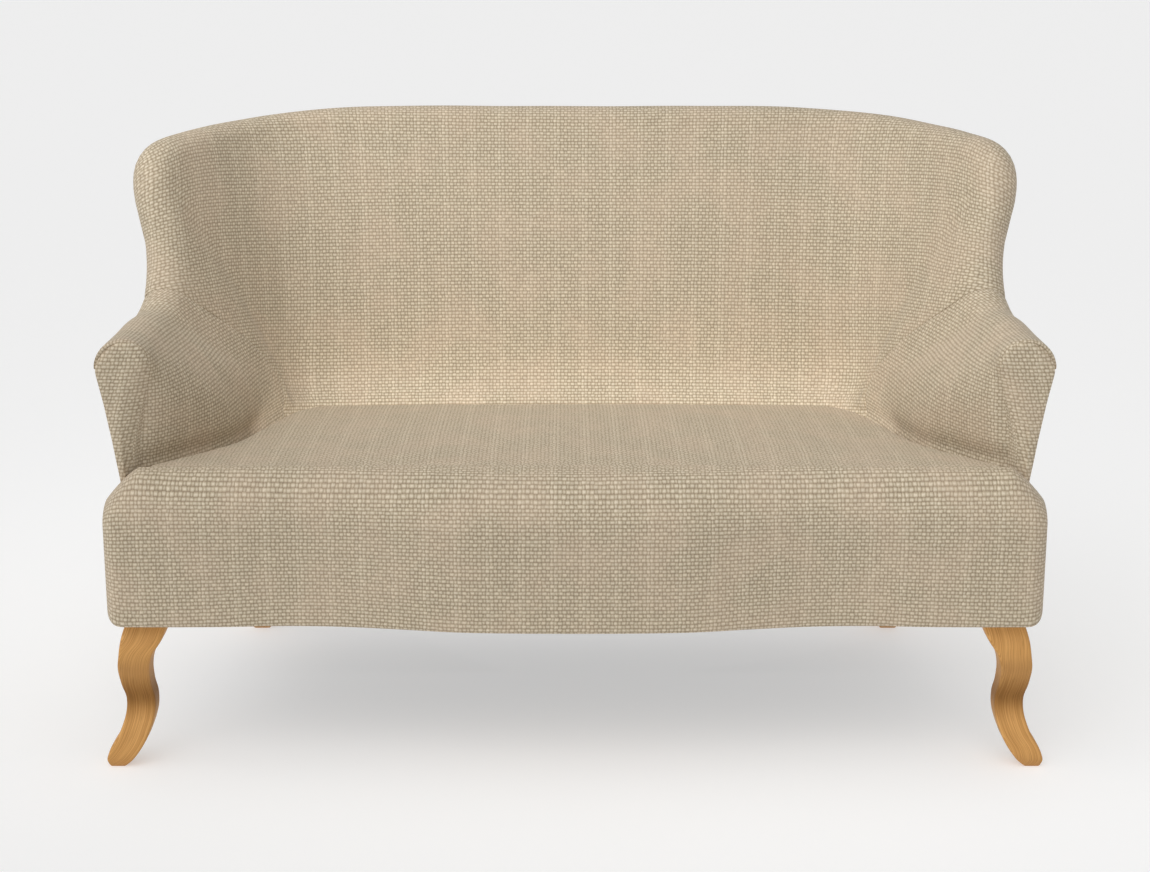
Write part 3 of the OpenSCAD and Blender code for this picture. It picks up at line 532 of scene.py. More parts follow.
def makeFacings(front, s=facingPad, a=armCover):
    # front is the arm cover's front edge, x and z with its place in the weave, so that the rows run on
    edge = insidePath(lastPlace, 0, 0)
    run = lengths(edge[None], 1)[0]
    share = run / run[-1]
    radius = mix(a["tightRadius"], a["softRadius"], frontSoftness(share))
    fadeIn, fadeOut = s["lipFade"]
    lip = np.clip((share - s["lipFrom"]) / fadeIn, 0, 1) * np.clip((1 - share) / fadeOut, 0, 1)
    normal = np.stack([np.gradient(edge[:, 2]), np.gradient(-edge[:, 0])], 1)
    normal /= np.linalg.norm(normal, axis=1, keepdims=True)
    inside = edge[:, [0, 2]] + normal * (cornerShare * radius + s["edge"] + s["lip"] * lip)[:, None]
    top, low = outsideEnds(lastPlace, s["edge"])
    down = np.array([mix(top, low, q) for q in np.linspace(0.03, 1, 40)])[:, [0, 2]]
    down[:, 0] -= outsideHook(down[:, 1], s["hook"])
    outline = np.concatenate([inside, down])
    radius = np.concatenate([radius, np.full(len(down), a["tightRadius"])])
    lip = np.concatenate([lip, np.zeros(len(down))])
    # a grid between the two sides of the outline, closer towards the top
    peak = int(np.argmax(outline[:, 1]))
    left, right = outline[:peak + 1], outline[peak:][::-1]
    bend = outline[peak, 1] - s["top"]
    rounded = bend + s["top"] * np.sin(np.linspace(0.08, 1.5, s["topRows"]))
    z = np.concatenate([np.linspace(railTop + 1, bend, s["rows"]), rounded])
    across = (1 - np.cos(np.linspace(0, np.pi, s["columns"]))) / 2
    fromX, toX = [np.interp(z, side[:, 1], side[:, 0])[None] for side in (left, right)]
    x = mix(fromX, toX, across[:, None])
    z = np.broadcast_to(z, x.shape)
    # the edge is rounded by the distance to the nearest point of the outline
    fine, fineRadius, fineLip = [
        np.concatenate([mix(line[:-1], line[1:], q) for q in (0, 0.25, 0.5, 0.75)])
        for line in (outline, radius, lip)]
    apart = np.linalg.norm(np.stack([x, z], 2)[:, :, None, :] - fine[None, None], axis=3)
    near, apart = apart.argmin(2), apart.min(2)
    r = fineRadius[near]
    inset = np.clip(apart / r + cornerShare, 0, 1)
    y = armY - a["stand"] + r * (1 - np.sqrt(1 - (1 - inset) ** 2))
    y += s["lip"] * fineLip[near] * bump(apart, s["lipWidth"]) - s["crown"] * np.sin(np.pi * across)[:, None]
    outer = np.stack([x, y, z], 2)
    inner = np.stack([x, np.maximum(armY - body["gap"] / 2, y + s["wall"]), z], 2)
    straight = front[seatRow:rollRow - 4]
    slope, start = np.polyfit(straight[:, 1], straight[:, 0], 1)
    thread = np.interp(z, straight[:, 1], straight[:, 3])
    thread += np.clip(z - straight[-1, 1], 0, None) + np.clip(z - straight[0, 1], None, 0)
    uv = np.stack([x - (slope * z + start), thread], 2)
    return bothSides("armFacing", outer, inner, uv, rim=(0.5,))


# Seat: a tight top, crowned, with rounded edges where it goes down beside the arms and back
seatTop = {
    "columns": 130, "rows": 64, "sag": 4, "sagShape": 4, "crown": 10, "round": 9, "roundDepth": 8,
    "lumps": 0.8, "lumpsFrom": 30, "seed": 8, "rim": (0.008, 0.03, 0.1, 0.3, 0.7),
}


def sideFall(x, sag):
    return sag * (np.abs(x) / frontHalf) ** seatTop["sagShape"]


def makeSeatPad(s=seatTop):
    half = np.array([seatLine(p)[:2] for p in np.linspace(lastPlace, 1, 300)])
    y0, y1 = seamY + body["gap"], seatBackY - body["gap"]
    t = (1 - np.cos(np.linspace(0, np.pi, s["rows"]))) / 2
    y = y0 + (y1 - y0) * t
    w = np.interp(y, half[:, 1], half[:, 0]) - body["gap"]
    f = np.sin(np.linspace(-np.pi / 2, np.pi / 2, s["columns"]))
    x = f[:, None] * w[None]
    q = np.clip((y - armY) / (seatBackY - armY), 0, 1)[None]
    level = body["seatHeight"] - body["seatFall"] * q
    z = level - sideFall(x, s["sag"]) + 4 * q * (1 - q) * s["crown"] * (1 - f[:, None] ** 2)
    outer = flatGrid(x, y, z)
    toSide, toBack, toFront = w[None] - np.abs(x), (y1 - y)[None], (y - y0)[None]
    drop = s["roundDepth"] * (bump(toSide, s["round"]) + bump(toBack, s["round"]))
    near = np.minimum(np.minimum(toSide, toBack), toFront)
    outer[..., 2] += unevenness(outer, s["lumps"], s["seed"]) * np.clip(near / s["lumpsFrom"], 0, 1) - drop
    uv = weaveMap(outer, s["columns"] // 2, 0)
    return shell("seatPad", outer, flatGrid(x, y, deckZ), uv, rim=s["rim"])


# Front: padded face with a rounded nose and ears that stand in front of the arms
frontPadSizes = {
    "pitch": 9, "earRadius": 50, "earDrop": 46, "earCurve": 1.35, "hemRadius": 8, "hemEndRadius": 20,
    "cornerRadius": 26, "sag": 4, "fullness": 1.5, "lumps": 0.6, "fadeIn": 60, "seed": 11, "turnIn": 0.8,
    "noseStretch": 0.36, "stretchFrom": 424, "stretchTo": 457, "stretchClimb": 0.3,
    "endTurns": [10, 20, 30, 40, 50, 59, 67, 74, 80, 86, 90], "faceRows": 14,
    "rim": (0.06, 0.2, 0.4, 0.6, 0.8),
}


def frontFaceY(x, s=frontPadSizes):
    f = min(1, abs(x) / frontHalf) * (len(bowShares) - 1)
    return frontY - body["frontBow"] * through(bowShares, f) + endDrop(x, s["cornerRadius"])


def endDrop(x, r):
    # how far a rounded end has fallen away at x
    over = clamp((abs(x) - frontHalf + r) / r) * r
    return r - math.sqrt(r * r - over * over)


def earDrop(x, s=frontPadSizes):
    # the ears fall away from the arms almost straight
    return s["earDrop"] * clamp((abs(x) - frontHalf + s["earRadius"]) / s["earRadius"]) ** s["earCurve"]


def makeFrontBorder(s=frontPadSizes):
    middleEnd, r = frontHalf - s["earRadius"], s["hemRadius"]
    middle = np.linspace(-1, 1, round(2 * middleEnd / s["pitch"])) * middleEnd
    ends = middleEnd + s["earRadius"] * np.sin(np.radians(s["endTurns"]))
    ends = np.sort(np.append(ends, bodyHalf + 0.4))
    xs = np.concatenate([-ends[::-1], middle, ends])
    outer, inner = [], []
    for x in xs:
        y, top = frontFaceY(x), body["seatHeight"] - sideFall(x, s["sag"]) - earDrop(x)
        low = legTop + body["gap"] + endDrop(x, s["hemEndRadius"])
        nose = min(body["seatHeight"] - body["noseHeight"], top - r)
        under = [[x, y + r + q, low] for q in (22, 14, 6)]
        quarter = np.linspace(0, np.pi / 2, 6)
        hem = [[x, y + r * (1 - math.sin(a)), low + r * (1 - math.cos(a))] for a in quarter]
        face = [[x, y, mix(low + r, nose, q)] for q in np.linspace(0, 1, s["faceRows"])[1:-1]]
        quarter = [*np.linspace(0, 1.53, 22), 1.558, np.pi / 2]
        turn = [[x, mix(seamY, y, math.cos(a)), mix(nose, top, math.sin(a))] for a in quarter]
        path = np.array(under + hem + face + turn)
        outer.append(path)
        if abs(x) > bodyHalf:  # past the outside arm, the cover is turned in behind the rail
            behind, upTo = armY + s["turnIn"], railTop + 3
        else:
            behind, upTo = body["frontPad"] + min(frontY, y) - 1, railTop - 4
        back = path.copy()
        back[:, 1] = np.where(path[:, 2] < upTo, behind, seamY - body["gap"])
        inner.append(back)
    outer, inner = np.array(outer), np.array(inner)
    v = lengths(outer, 1)
    fromSeam = v[:, -1:] - v
    height = np.clip((v - 40) / (v[:, -1:] - 60), 0, 1)
    inset = np.clip((frontHalf - np.abs(outer[..., 0])) / s["fadeIn"], 0, 1)
    relief = s["fullness"] * np.sin(np.pi * height) * inset
    lumps = unevenness(outer, s["lumps"], s["seed"]) * inset
    outer = raised(outer, relief + lumps * np.clip(height * 5, 0, 1) * np.clip(fromSeam / 30, 0, 1))
    # the cloth is drawn tighter over the nose, so its rows lie further apart there
    path, height = wayUp(outer), outer[..., 2]
    nose = (height > s["stretchFrom"]) & (height < s["stretchTo"]) & (np.abs(path[..., 2]) > s["stretchClimb"])
    uv = layWeave(outer, path, len(xs) // 2, outer.shape[1] // 2, 1 - s["noseStretch"] * nose[..., None])
    return shell("frontBorder", outer, inner, uv, rim=s["rim"])


# Outside panels: card and cloth, drawn flat from the roll down to the rails
panelCover = {
    "rows": [0, 0.006, 0.02, *np.linspace(0.05, 0.97, 26), 0.985, 0.995, 1],
    "pitch": 14, "hook": 3.2, "hookFade": 3,
}


def outsideGrid(places, deep, hook):
    grid = []
    for p in places:
        top, low = outsideEnds(p, deep)
        seam = 2 * body["gap"] / np.linalg.norm(low - top)
        path = np.array([mix(top, low, mix(seam, 1, q)) for q in panelCover["rows"]])
        size = hook * clamp((abs(p) - wingEnd) / panelCover["hookFade"])
        path[:, 0] -= outsideHook(path[:, 2], size) * np.sign(p)
        grid.append(path)
    return np.array(grid)


def makeOutside(s=panelCover):
    up = np.array([0.0, 0.0, 1.0])
    side = evenPlaces(backEnd + 0.01, lastPlace, s["pitch"], (1.5, 4))
    outer, inner = outsideGrid(side, 0, s["hook"]), outsideGrid(side, body["panel"], s["hook"])
    arms = bothSides("outsideArm", outer, inner, layWeave(outer, up, len(side) - 1, 0), rim=(0.5,))
    rear = evenPlaces(-backEnd + 0.01, backEnd - 0.01, s["pitch"], (1.5, 4))
    outer, inner = outsideGrid(rear, 0, 0), outsideGrid(rear, body["panel"], 0)
    return [*arms, shell("outsideBack", outer, inner, layWeave(outer, up, len(rear) // 2, 0), rim=(0.5,))]


# Legs: height, offset of the centre and width of the section, shares of the leg's own sizes
cabrioleShares = np.array([
    [0, -0.06, 0.345], [0.017, -0.035, 0.46], [0.06, 0.045, 0.65], [0.137, 0.235, 0.746], [0.223, 0.46, 0.715],
    [0.343, 0.66, 0.7], [0.451, 0.69, 0.69], [0.558, 0.59, 0.714], [0.687, 0.54, 0.754],
    [0.794, 0.61, 0.8], [0.888, 0.8, 0.97], [1, 1, 1],
])
sabreShares = np.array([
    [0, 0, 0.62], [0.03, 0.02, 0.7], [0.2, 0.24, 0.72], [0.45, 0.56, 0.8], [0.75, 0.88, 0.94], [1, 1, 1],
])
legSizes = {
    "frontW": 63, "frontD": 54, "frontFootIn": 15.5, "splay": 51, "run": 15, "legIn": 18,
    "rearW": 46, "rearFootIn": 142, "rearSplay": 23, "rearIn": 39, "rearSweep": 66,
    "sides": 72, "rings": 120, "squareness": 0.2, "outward": 0.21, "grainTurn": 1.7,
    "knee": 15, "kneeAt": (0.78, 0.13), "hollow": 14, "hollowAt": (0.42, 0.17),  # height and reach, shares
}


def makeLeg(name, shares, foot, top, w, d, s=legSizes):
    rings, n = s["rings"], s["sides"]
    f = 2 * np.pi * (np.arange(n) + 0.5) / n
    section = np.stack([np.sign(c) * np.abs(c) ** s["squareness"] for c in (np.cos(f), np.sin(f))], 1)
    points, uv = [], []
    for i in range(rings + 1):
        q = through(shares, (len(shares) - 1) * i / rings)
        centre = mix(np.array(foot), np.array(top), q[1])
        if top[1] < 0:  # a front leg bulges at the knee and is hollow below it
            (knee, kneeReach), (hollow, hollowReach) = s["kneeAt"], s["hollowAt"]
            back = s["hollow"] * bump(q[0] - hollow, hollowReach) - s["knee"] * bump(q[0] - knee, kneeReach)
            centre += np.array([math.copysign(s["outward"], top[0]), 1]) * back
        ring = centre + section * np.array([w, d]) / 2 * q[2]
        z = q[0] * (legTop - body["gap"])
        points.append(np.column_stack([ring, np.full(n, z)]))
        turned = section[:, 0] * w / 2 + section[:, 1] * d / 2 * s["grainTurn"]
        uv.append(np.column_stack([turned * q[2], np.full(n, z)]))
    faces = [[i * n + k, i * n + (k + 1) % n, (i + 1) * n + (k + 1) % n, (i + 1) * n + k]
             for i in range(rings) for k in range(n)]
    faces += [list(range(n))[::-1], [rings * n + k for k in range(n)]]
    return makeMesh(name, np.concatenate(points), faces, np.concatenate(uv), layer="grain")


def legPlaces(side, s=legSizes):
    # foot and top of the front and of the rear leg on one side
    frontX, frontLegY = halfW - s["frontFootIn"], nodeBox("front_rail")[0][1] + s["legIn"]
    rearX, rearLegY = halfW - s["rearFootIn"], footY - body["panel"] - s["rearIn"]
    return [
        ([side * frontX, frontLegY - s["run"]], [side * (frontX - s["splay"]), frontLegY]),
        ([side * rearX, rearLegY + s["rearSweep"]], [side * (rearX - s["rearSplay"]), rearLegY]),
    ]


def makeLegs(s=legSizes):
    legs = []
    for side, name in ((1, "Right"), (-1, "Left")):
        front, rear = legPlaces(side)
        legs.append(makeLeg("frontLeg" + name, cabrioleShares, *front, s["frontW"], s["frontD"]))
        legs.append(makeLeg("rearLeg" + name, sabreShares, *rear, s["rearW"], s["rearW"]))
    return legs


def settled(piece):
    # the result of the piece's modifiers as its plain mesh
    mesh = bpy.data.meshes.new_from_object(piece.evaluated_get(bpy.context.evaluated_depsgraph_get()))
    for i in reversed(range(len(mesh.materials))):
        if not mesh.materials[i]:
            mesh.materials.pop(index=i)
    piece.modifiers.clear()
    piece.data = mesh


# Felt under the rails: it hangs a little between them, puckers at the staples and is cut round the legs
underFelt = {
    "thick": 1, "in": 12, "sag": 6, "sagShape": 1.5, "pucker": 0.8, "pitch": 45, "columns": 90, "rows": 40,
    "cut": 63, "edge": 24, "endShare": 0.48,
}


def underEdge(deep):
    inward = body["panel"] + underFelt["in"] + deep
    return np.array([(footLine(p) + inward * footInward(p))[:2] for p in np.linspace(lastPlace, 0, 240)])


def makeDustCover(s=underFelt):
    edge = underEdge(0)
    y = mix(edge[0, 1], edge[-1, 1] - 0.5, np.sin(np.linspace(0, np.pi / 2, s["rows"])))
    w = np.interp(y, edge[:, 1], edge[:, 0])
    x = np.linspace(1, -1, s["columns"])[:, None] * w[None]
    side = np.clip((np.abs(x) - s["edge"]) / (w - 2.6 * s["edge"])[None], 0, 1)
    depth = np.clip((y - y[0] - 2 * s["edge"]) / (y[-1] - y[0] - 4 * s["edge"]), 0, 1)[None]
    drop = s["sag"] * (np.sin(np.pi * side) * np.sin(np.pi * depth)) ** s["sagShape"]
    run = np.where(np.abs(y - y.mean()) > s["endShare"] * (y[-1] - y[0]), x, y[None])
    near = np.minimum(np.minimum(y - y[0], y[-1] - y)[None], w[None] - np.abs(x))
    drop += s["pucker"] * (0.5 - 0.5 * np.cos(2 * np.pi * run / s["pitch"])) * bump(near, s["edge"])
    outer = flatGrid(x, y, railLow - body["gap"] / 3 - s["thick"] - drop)
    felt = shell("dustCover", outer, outer + [0, 0, s["thick"]], outer[..., :2], rim=(0.5,))
    cutters = []
    for _, top in legPlaces(1) + legPlaces(-1):
        half = s["cut"] / 2
        ways = [(a, b, c) for c in (-1, 1) for b in (-1, 1) for a in (-1, 1)]
        corners = [[top[0] + a * half, top[1] + b * half, railLow + c * 30] for a, b, c in ways]
        faces = [[0, 2, 3, 1], [4, 5, 7, 6], [0, 1, 5, 4], [2, 6, 7, 3], [0, 4, 6, 2], [1, 3, 7, 5]]
        cutters.append(makeMesh("legCut", np.array(corners), faces, np.zeros((8, 2))))
        cut = felt.modifiers.new("legCut", "BOOLEAN")
        cut.operation, cut.solver, cut.object = "DIFFERENCE", "EXACT", cutters[-1]
    settled(felt)
    for cutter in cutters:
        bpy.data.objects.remove(cutter)
    return felt


# Staples of zinc wire through the felt into the rails, some four centimetres apart and never quite in line
staples = {
    "spacing": 42, "crown": 11, "rise": 2.4, "wire": 0.55, "in": 8, "turn": 0.12, "seed": 4, "clear": 10,
    "bend": -0.3, "rings": 12, "sides": 8, "frontPoints": 60,
}


def makeStaples(metal, s=staples):
    edge = underEdge(s["in"])
    front = np.linspace([edge[0, 0], edge[0, 1] + s["in"]], [0, edge[0, 1] + s["in"]], s["frontPoints"])
    line = np.concatenate([front[::-1], edge])
    line = np.concatenate([line, line[::-1] * [-1, 1]])
    tops = np.array([top for _, top in legPlaces(1) + legPlaces(-1)])
    clear = np.abs(line[:, None] - tops[None]).max(2).min(1) > underFelt["cut"] / 2 + s["clear"]
    runs = [[i, i + 1] for i in range(len(line) - 1) if clear[i] and clear[i + 1]]
    level = railLow - body["gap"] / 3 - underFelt["thick"] - s["wire"] / 2
    mesh = bpy.data.meshes.new("dustStaples")
    mesh.from_pydata(np.column_stack([line, np.full(len(line), level)]) * mm, runs, [])
    piece = bpy.data.objects.new("dustStaples", mesh)
    bpy.context.scene.collection.objects.link(piece)
    tree = bpy.data.node_groups.new("staples", "GeometryNodeTree")
    wanted = {name.capitalize(): s[name] * mm for name in ("spacing", "crown", "rise", "wire")}
    wanted["Turn"] = s["turn"]
    tree.interface.new_socket(name="Geometry", in_out="INPUT", socket_type="NodeSocketGeometry")
    named = {name: tree.interface.new_socket(name=name, in_out="INPUT", socket_type="NodeSocketFloat")
             for name in wanted}
    tree.interface.new_socket(name="Geometry", in_out="OUTPUT", socket_type="NodeSocketGeometry")
    given = addNode(tree, "NodeGroupInput")
    path = addNode(tree, "GeometryNodeMeshToCurve", {"Mesh": given["Geometry"]})[0]
    spots = addNode(tree, "GeometryNodeCurveToPoints", {0: path, "Length": given["Spacing"]}, mode="LENGTH")
    # one staple: a bent wire, crown down
    half = addNode(tree, mathNode, given["Crown"], 0.5, operation="MULTIPLY")[0]
    behind = addNode(tree, mathNode, given["Crown"], -0.5, operation="MULTIPLY")[0]
    dip = addNode(tree, mathNode, given["Rise"], s["bend"], operation="MULTIPLY")[0]
    ends = {"Start": (behind, 0.0, given["Rise"]), "Start Handle": (behind, 0.0, dip),
            "End Handle": (half, 0.0, dip), "End": (half, 0.0, given["Rise"])}
    bent = addNode(tree, "GeometryNodeCurvePrimitiveBezierSegment", {
        "Resolution": s["rings"], **{key: addNode(tree, xyzNode, *at)[0] for key, at in ends.items()}})[0]
    ring = addNode(tree, "GeometryNodeCurvePrimitiveCircle", {
        "Resolution": s["sides"], "Radius": given["Wire"]})[0]
    wire = addNode(tree, "GeometryNodeCurveToMesh", {0: bent, 1: ring, "Fill Caps": True})[0]
    # set along the line, each turned a little by chance
    facing = addNode(tree, "FunctionNodeAlignRotationToVector", {"Vector": spots["Tangent"]},
                     axis="X", pivot_axis="Z")[0]
    back = addNode(tree, mathNode, given["Turn"], -1.0, operation="MULTIPLY")[0]
    turn = addNode(tree, "FunctionNodeRandomValue", {2: back, 3: given["Turn"], "Seed": s["seed"]},
                   data_type="FLOAT")[1]
    turn = addNode(tree, "FunctionNodeAxisAngleToRotation", {"Angle": turn})[0]
    turned = addNode(tree, "FunctionNodeRotateRotation", facing, turn)[0]
    placed = addNode(tree, "GeometryNodeInstanceOnPoints", {
        "Points": spots[0], "Instance": wire, "Rotation": turned})[0]
    whole = addNode(tree, "GeometryNodeRealizeInstances", placed)[0]
    coloured = addNode(tree, "GeometryNodeSetMaterial", {"Geometry": whole, "Material": metal})[0]
    addNode(tree, "NodeGroupOutput", coloured)
    live = piece.modifiers.new("staples", "NODES")
    live.node_group = tree
    for name, value in wanted.items():
        live[named[name].identifier] = value
    settled(piece)
    return piece


# Hessian over the springs: it rests on their bows and dips between them
springSheet = {"thick": 1.2, "in": 12, "dip": 3, "pitch": 200, "fade": 40, "columns": 90, "rows": 40}


def makeSpringCover(s=springSheet):
    line = np.array([seatLine(p)[:2] for p in np.linspace(lastPlace, 0.5, 300)]) - s["in"]
    y = np.linspace(line[0, 1], line[-1, 1] - 0.5, s["rows"])
    w = np.interp(y, line[:, 1], line[:, 0])
    x = np.linspace(-1, 1, s["columns"])[:, None] * w[None]
    depth = (y - y[0]) / (y[-1] - y[0])
    fade = np.clip((w[None] - np.abs(x)) / s["fade"], 0, 1)
    between = (0.5 + 0.5 * np.cos(2 * np.pi * x / s["pitch"])) * fade
    outer = flatGrid(x, y, deckZ - body["gap"] - s["dip"] * between * np.sin(np.pi * depth)[None])
    return shell("springCover", outer, outer - [0, 0, s["thick"]], outer[..., :2], rim=(0.5,), smooth=0)


# Straps of rubber webbing behind the padding of the back
straps = {"count": 6, "reach": 1.25, "half": 0.09, "thick": 2}


def makeBackWebbing(s=straps):
    whole, gap = bmesh.new(), body["gap"]
    for middle in np.linspace(-s["reach"], s["reach"], s["count"]):
        places = np.linspace(middle - s["half"], middle + s["half"], 7)
        sides = []
        for deep in (gap, gap + s["thick"]):
            paths = [insidePath(p, body["pad"] + deep, body["rollPad"] + deep) for p in places]
            sides.append(np.array(paths)[:, :rollRow + 1])
        strap = shell("strap", *sides, weaveMap(sides[0], 3, 0), rim=(0.5,), smooth=0)
        whole.from_mesh(strap.data)
        bpy.data.objects.remove(strap)
    piece = bpy.data.objects.new("backWebbing", bpy.data.meshes.new("backWebbing"))
    whole.to_mesh(piece.data)
    whole.free()
    bpy.context.scene.collection.objects.link(piece)
    return piece


def linear(code):
    # sRGB hex to linear colour
    parts = [int(code[i:i + 2], 16) / 255 for i in (1, 3, 5)]
    return [*[c / 12.92 if c <= 0.04045 else ((c + 0.055) / 1.055) ** 2.4 for c in parts], 1]


mathNode, vectorNode, xyzNode = "ShaderNodeMath", "ShaderNodeVectorMath", "ShaderNodeCombineXYZ"
noiseNode, rangeNode, rampNode = "ShaderNodeTexNoise", "ShaderNodeMapRange", "ShaderNodeValToRGB"
mixNode, bumpNode, splitNode = "ShaderNodeMix", "ShaderNodeBump", "ShaderNodeSeparateXYZ"
chanceNode, mapNode, placeNode = "ShaderNodeTexWhiteNoise", "ShaderNodeUVMap", "ShaderNodeTexCoord"
eased = "SMOOTHSTEP"


def addNode(tree, kind, *values, stops=(), between="EASE", **settings):
    # adds a node: its inputs in order or by name, its ramp's stops and its settings. Gives its outputs
    node = tree.nodes.new(kind)
    for name, value in settings.items():
        setattr(node, name, value)
    named = values[0] if values and isinstance(values[0], dict) else dict(enumerate(values))
    for key, value in named.items():
        if isinstance(value, bpy.types.NodeSocket):
            tree.links.new(value, node.inputs[key])
        else:
            node.inputs[key].default_value = value
    if stops:
        ramp = node.color_ramp
        ramp.interpolation = between
        ramp.elements[0].position, ramp.elements[1].position = stops[0][0], stops[-1][0]
        for at, _ in stops[1:-1]:
            ramp.elements.new(at)
        for element, (_, value) in zip(ramp.elements, stops):
            element.color = (value, value, value, 1)
    return node.outputs


def newMaterial(name, **sockets):
    material = bpy.data.materials.new(name)
    material.use_nodes = True
    shader = material.node_tree.nodes["Principled BSDF"]
    for key, value in sockets.items():
        shader.inputs[key.replace("_", " ")].default_value = value
    return material, material.node_tree, shader


# Basket weave of thick slubbed cotton yarn: matt, with painted highlight in cream on top and painted shade in
# tan between. Long and short floats lie in turn, half a float over in each next row, with a pair of fine lines
# in the warp at each repeat. In mm
weave = {
    "row": 5.5, "repeat": 46.4, "floats": [7.0, 4.6, 6.6, 5.0, 7.2, 4.4, 6.8, 4.8], "bond": 5.8,
    "longFrom": 5.5, "longLevel": (0.3, 0.7), "shortHeight": 0.9,  # a long float is level in its middle
    "slide": 1.6, "shift": 0.8, "wobble": 1.0, "wobbleAcross": 4.2, "wobbleSize": 11,  # uneven yarn
    "rowDepth": 0.78, "rowRound": 0.42, "beads": 0.6,  # how deep the weave is between rows and floats
    "clotSize": 3.5, "clotFrom": (0.52, 0.68), "clotHeight": 0.45,  # slubs that fill the gaps
    "bridgeFrom": 0.8, "bridgeHeight": 0.55,  # floats that run into the next
    "pair": (0.16, 0.27), "pairHalf": 0.035, "pairHeight": 0.17, "fuzzSize": 1.8, "fuzz": 0.36,
    "patchSize": 80, "patchTone": 0.1, "floatTone": 0.1, "warmFrom": (0.4, 0.65), "warmth": 0.17,
    # the gap colour is painted shade between rows and floats, and the top colour is painted highlight on the
    # crests
    "gapPaintedShade": "#91816B", "yarn": "#BDAE95", "top": "#DED2BC", "warm": "#C9AF9A",
    "yarnFrom": (0.1, 0.62), "crestHighlightFrom": (0.6, 1.1), "relief": 0.6, "strength": 0.5,
}


def weaveMaterial(name, s=weave):
    material, tree, shader = newMaterial(
        name, Roughness=0.93, Specular_IOR_Level=0.2, Sheen_Weight=0.12, Sheen_Roughness=0.5)
    place = addNode(tree, mapNode, uv_map="weave")[0]
    clot, fuzz, patch = [
        addNode(tree, noiseNode, {"Vector": place, "Scale": 1 / (s[size] * mm), "Detail": detail})[0]
        for size, detail in (("clotSize", 0.0), ("fuzzSize", 1.0), ("patchSize", 0.5))]
    wobble = addNode(tree, noiseNode, {
        "Vector": place, "Scale": 1 / (s["wobbleSize"] * mm), "Detail": 2.0})["Color"]
    wobble = addNode(tree, vectorNode, wobble, (0.5, 0.5, 0.5), operation="SUBTRACT")[0]
    far = (s["wobbleAcross"] * mm, s["wobble"] * mm, 0)
    moved = addNode(tree, vectorNode, wobble, far, place, operation="MULTIPLY_ADD")[0]
    across, up, _ = addNode(tree, splitNode, moved)
    # rows, each slid by chance and every other one by half a float
    row = addNode(tree, mathNode, up, s["row"] * mm, operation="DIVIDE")[0]
    rowNumber = addNode(tree, mathNode, row, operation="FLOOR")[0]
    rowChance = addNode(tree, chanceNode, {"W": rowNumber}, noise_dimensions="1D")[0]
    slid = addNode(tree, mathNode, rowChance, s["slide"] * mm, across, operation="MULTIPLY_ADD")[0]
    odd = addNode(tree, mathNode, rowNumber, 2, operation="FLOORED_MODULO")[0]
    slid = addNode(tree, mathNode, odd, s["bond"] * mm, slid, operation="MULTIPLY_ADD")[0]
    repeats = addNode(tree, mathNode, slid, s["repeat"] * mm, operation="DIVIDE")[0]
    repeatNumber = addNode(tree, mathNode, repeats, operation="FLOOR")[0]
    repeatShare = addNode(tree, mathNode, repeats, operation="FRACT")[0]
    # floats along a row: their heights, and a mark for each one
    heights, marks, at = [], [], 0.0
    for i, length in enumerate(s["floats"]):
        share = length / sum(s["floats"])
        marks.append((at, (i + 0.5) / len(s["floats"])))
        peaks = [(0.5, s["shortHeight"])] if length < s["longFrom"] else [(q, 1.0) for q in s["longLevel"]]
        heights += [(at, 0.0), *[(at + q * share, high) for q, high in peaks]]
        at += share
    bead = addNode(tree, rampNode, repeatShare, stops=[*heights, (1, 0.0)])[0]
    mark = addNode(tree, rampNode, repeatShare, stops=marks, between="CONSTANT")[0]
    mark = addNode(tree, mathNode, mark, 12, operation="MULTIPLY")[0]
    cell = addNode(tree, xyzNode, mark, rowNumber, repeatNumber)[0]  # three chances for each float
    chances = addNode(tree, chanceNode, {"Vector": cell}, noise_dimensions="3D")["Color"]
    chance, lean, join = addNode(tree, splitNode, chances)
    # height of the yarn
    lean = addNode(tree, mathNode, lean, 0.5, operation="SUBTRACT")[0]
    shifted = addNode(tree, mathNode, lean, s["shift"] / s["row"], row, operation="MULTIPLY_ADD")[0]
    steps = [("MULTIPLY", 2 * math.pi), ("COSINE",), ("MULTIPLY_ADD", -0.5, 0.5), ("POWER", s["rowRound"]),
             ("MULTIPLY_ADD", s["rowDepth"], 1 - s["rowDepth"])]
    wave = shifted
    for operation, *numbers in steps:
        wave = addNode(tree, mathNode, wave, *numbers, operation=operation)[0]
    clot = addNode(tree, rangeNode, clot, *s["clotFrom"], 0, s["clotHeight"], interpolation_type=eased)[0]
    wave = addNode(tree, mathNode, wave, clot, operation="MAXIMUM")[0]
    join = addNode(tree, mathNode, join, s["bridgeFrom"], operation="GREATER_THAN")[0]
    join = addNode(tree, mathNode, join, s["bridgeHeight"], operation="MULTIPLY")[0]
    bead = addNode(tree, mathNode, bead, join, operation="MAXIMUM")[0]
    bead = addNode(tree, mathNode, bead, s["beads"], 1 - s["beads"], operation="MULTIPLY_ADD")[0]
    height = addNode(tree, mathNode, wave, bead, operation="MULTIPLY")[0]
    band = addNode(tree, mathNode, across, s["repeat"] * mm, operation="DIVIDE")[0]
    band = addNode(tree, mathNode, band, operation="FRACT")[0]
    half = s["pairHalf"]
    pair = [(at + step, high) for at in s["pair"] for step, high in ((-half, 0), (0, 1), (half, 0))]
    lines = addNode(tree, rampNode, band, stops=[(0, 0), *pair, (1, 0)])[0]
    fuzz = addNode(tree, mathNode, fuzz, 0.5, operation="SUBTRACT")[0]
    height = addNode(tree, mathNode, fuzz, s["fuzz"], height, operation="MULTIPLY_ADD")[0]
    height = addNode(tree, mathNode, lines, s["pairHeight"], height, operation="MULTIPLY_ADD")[0]
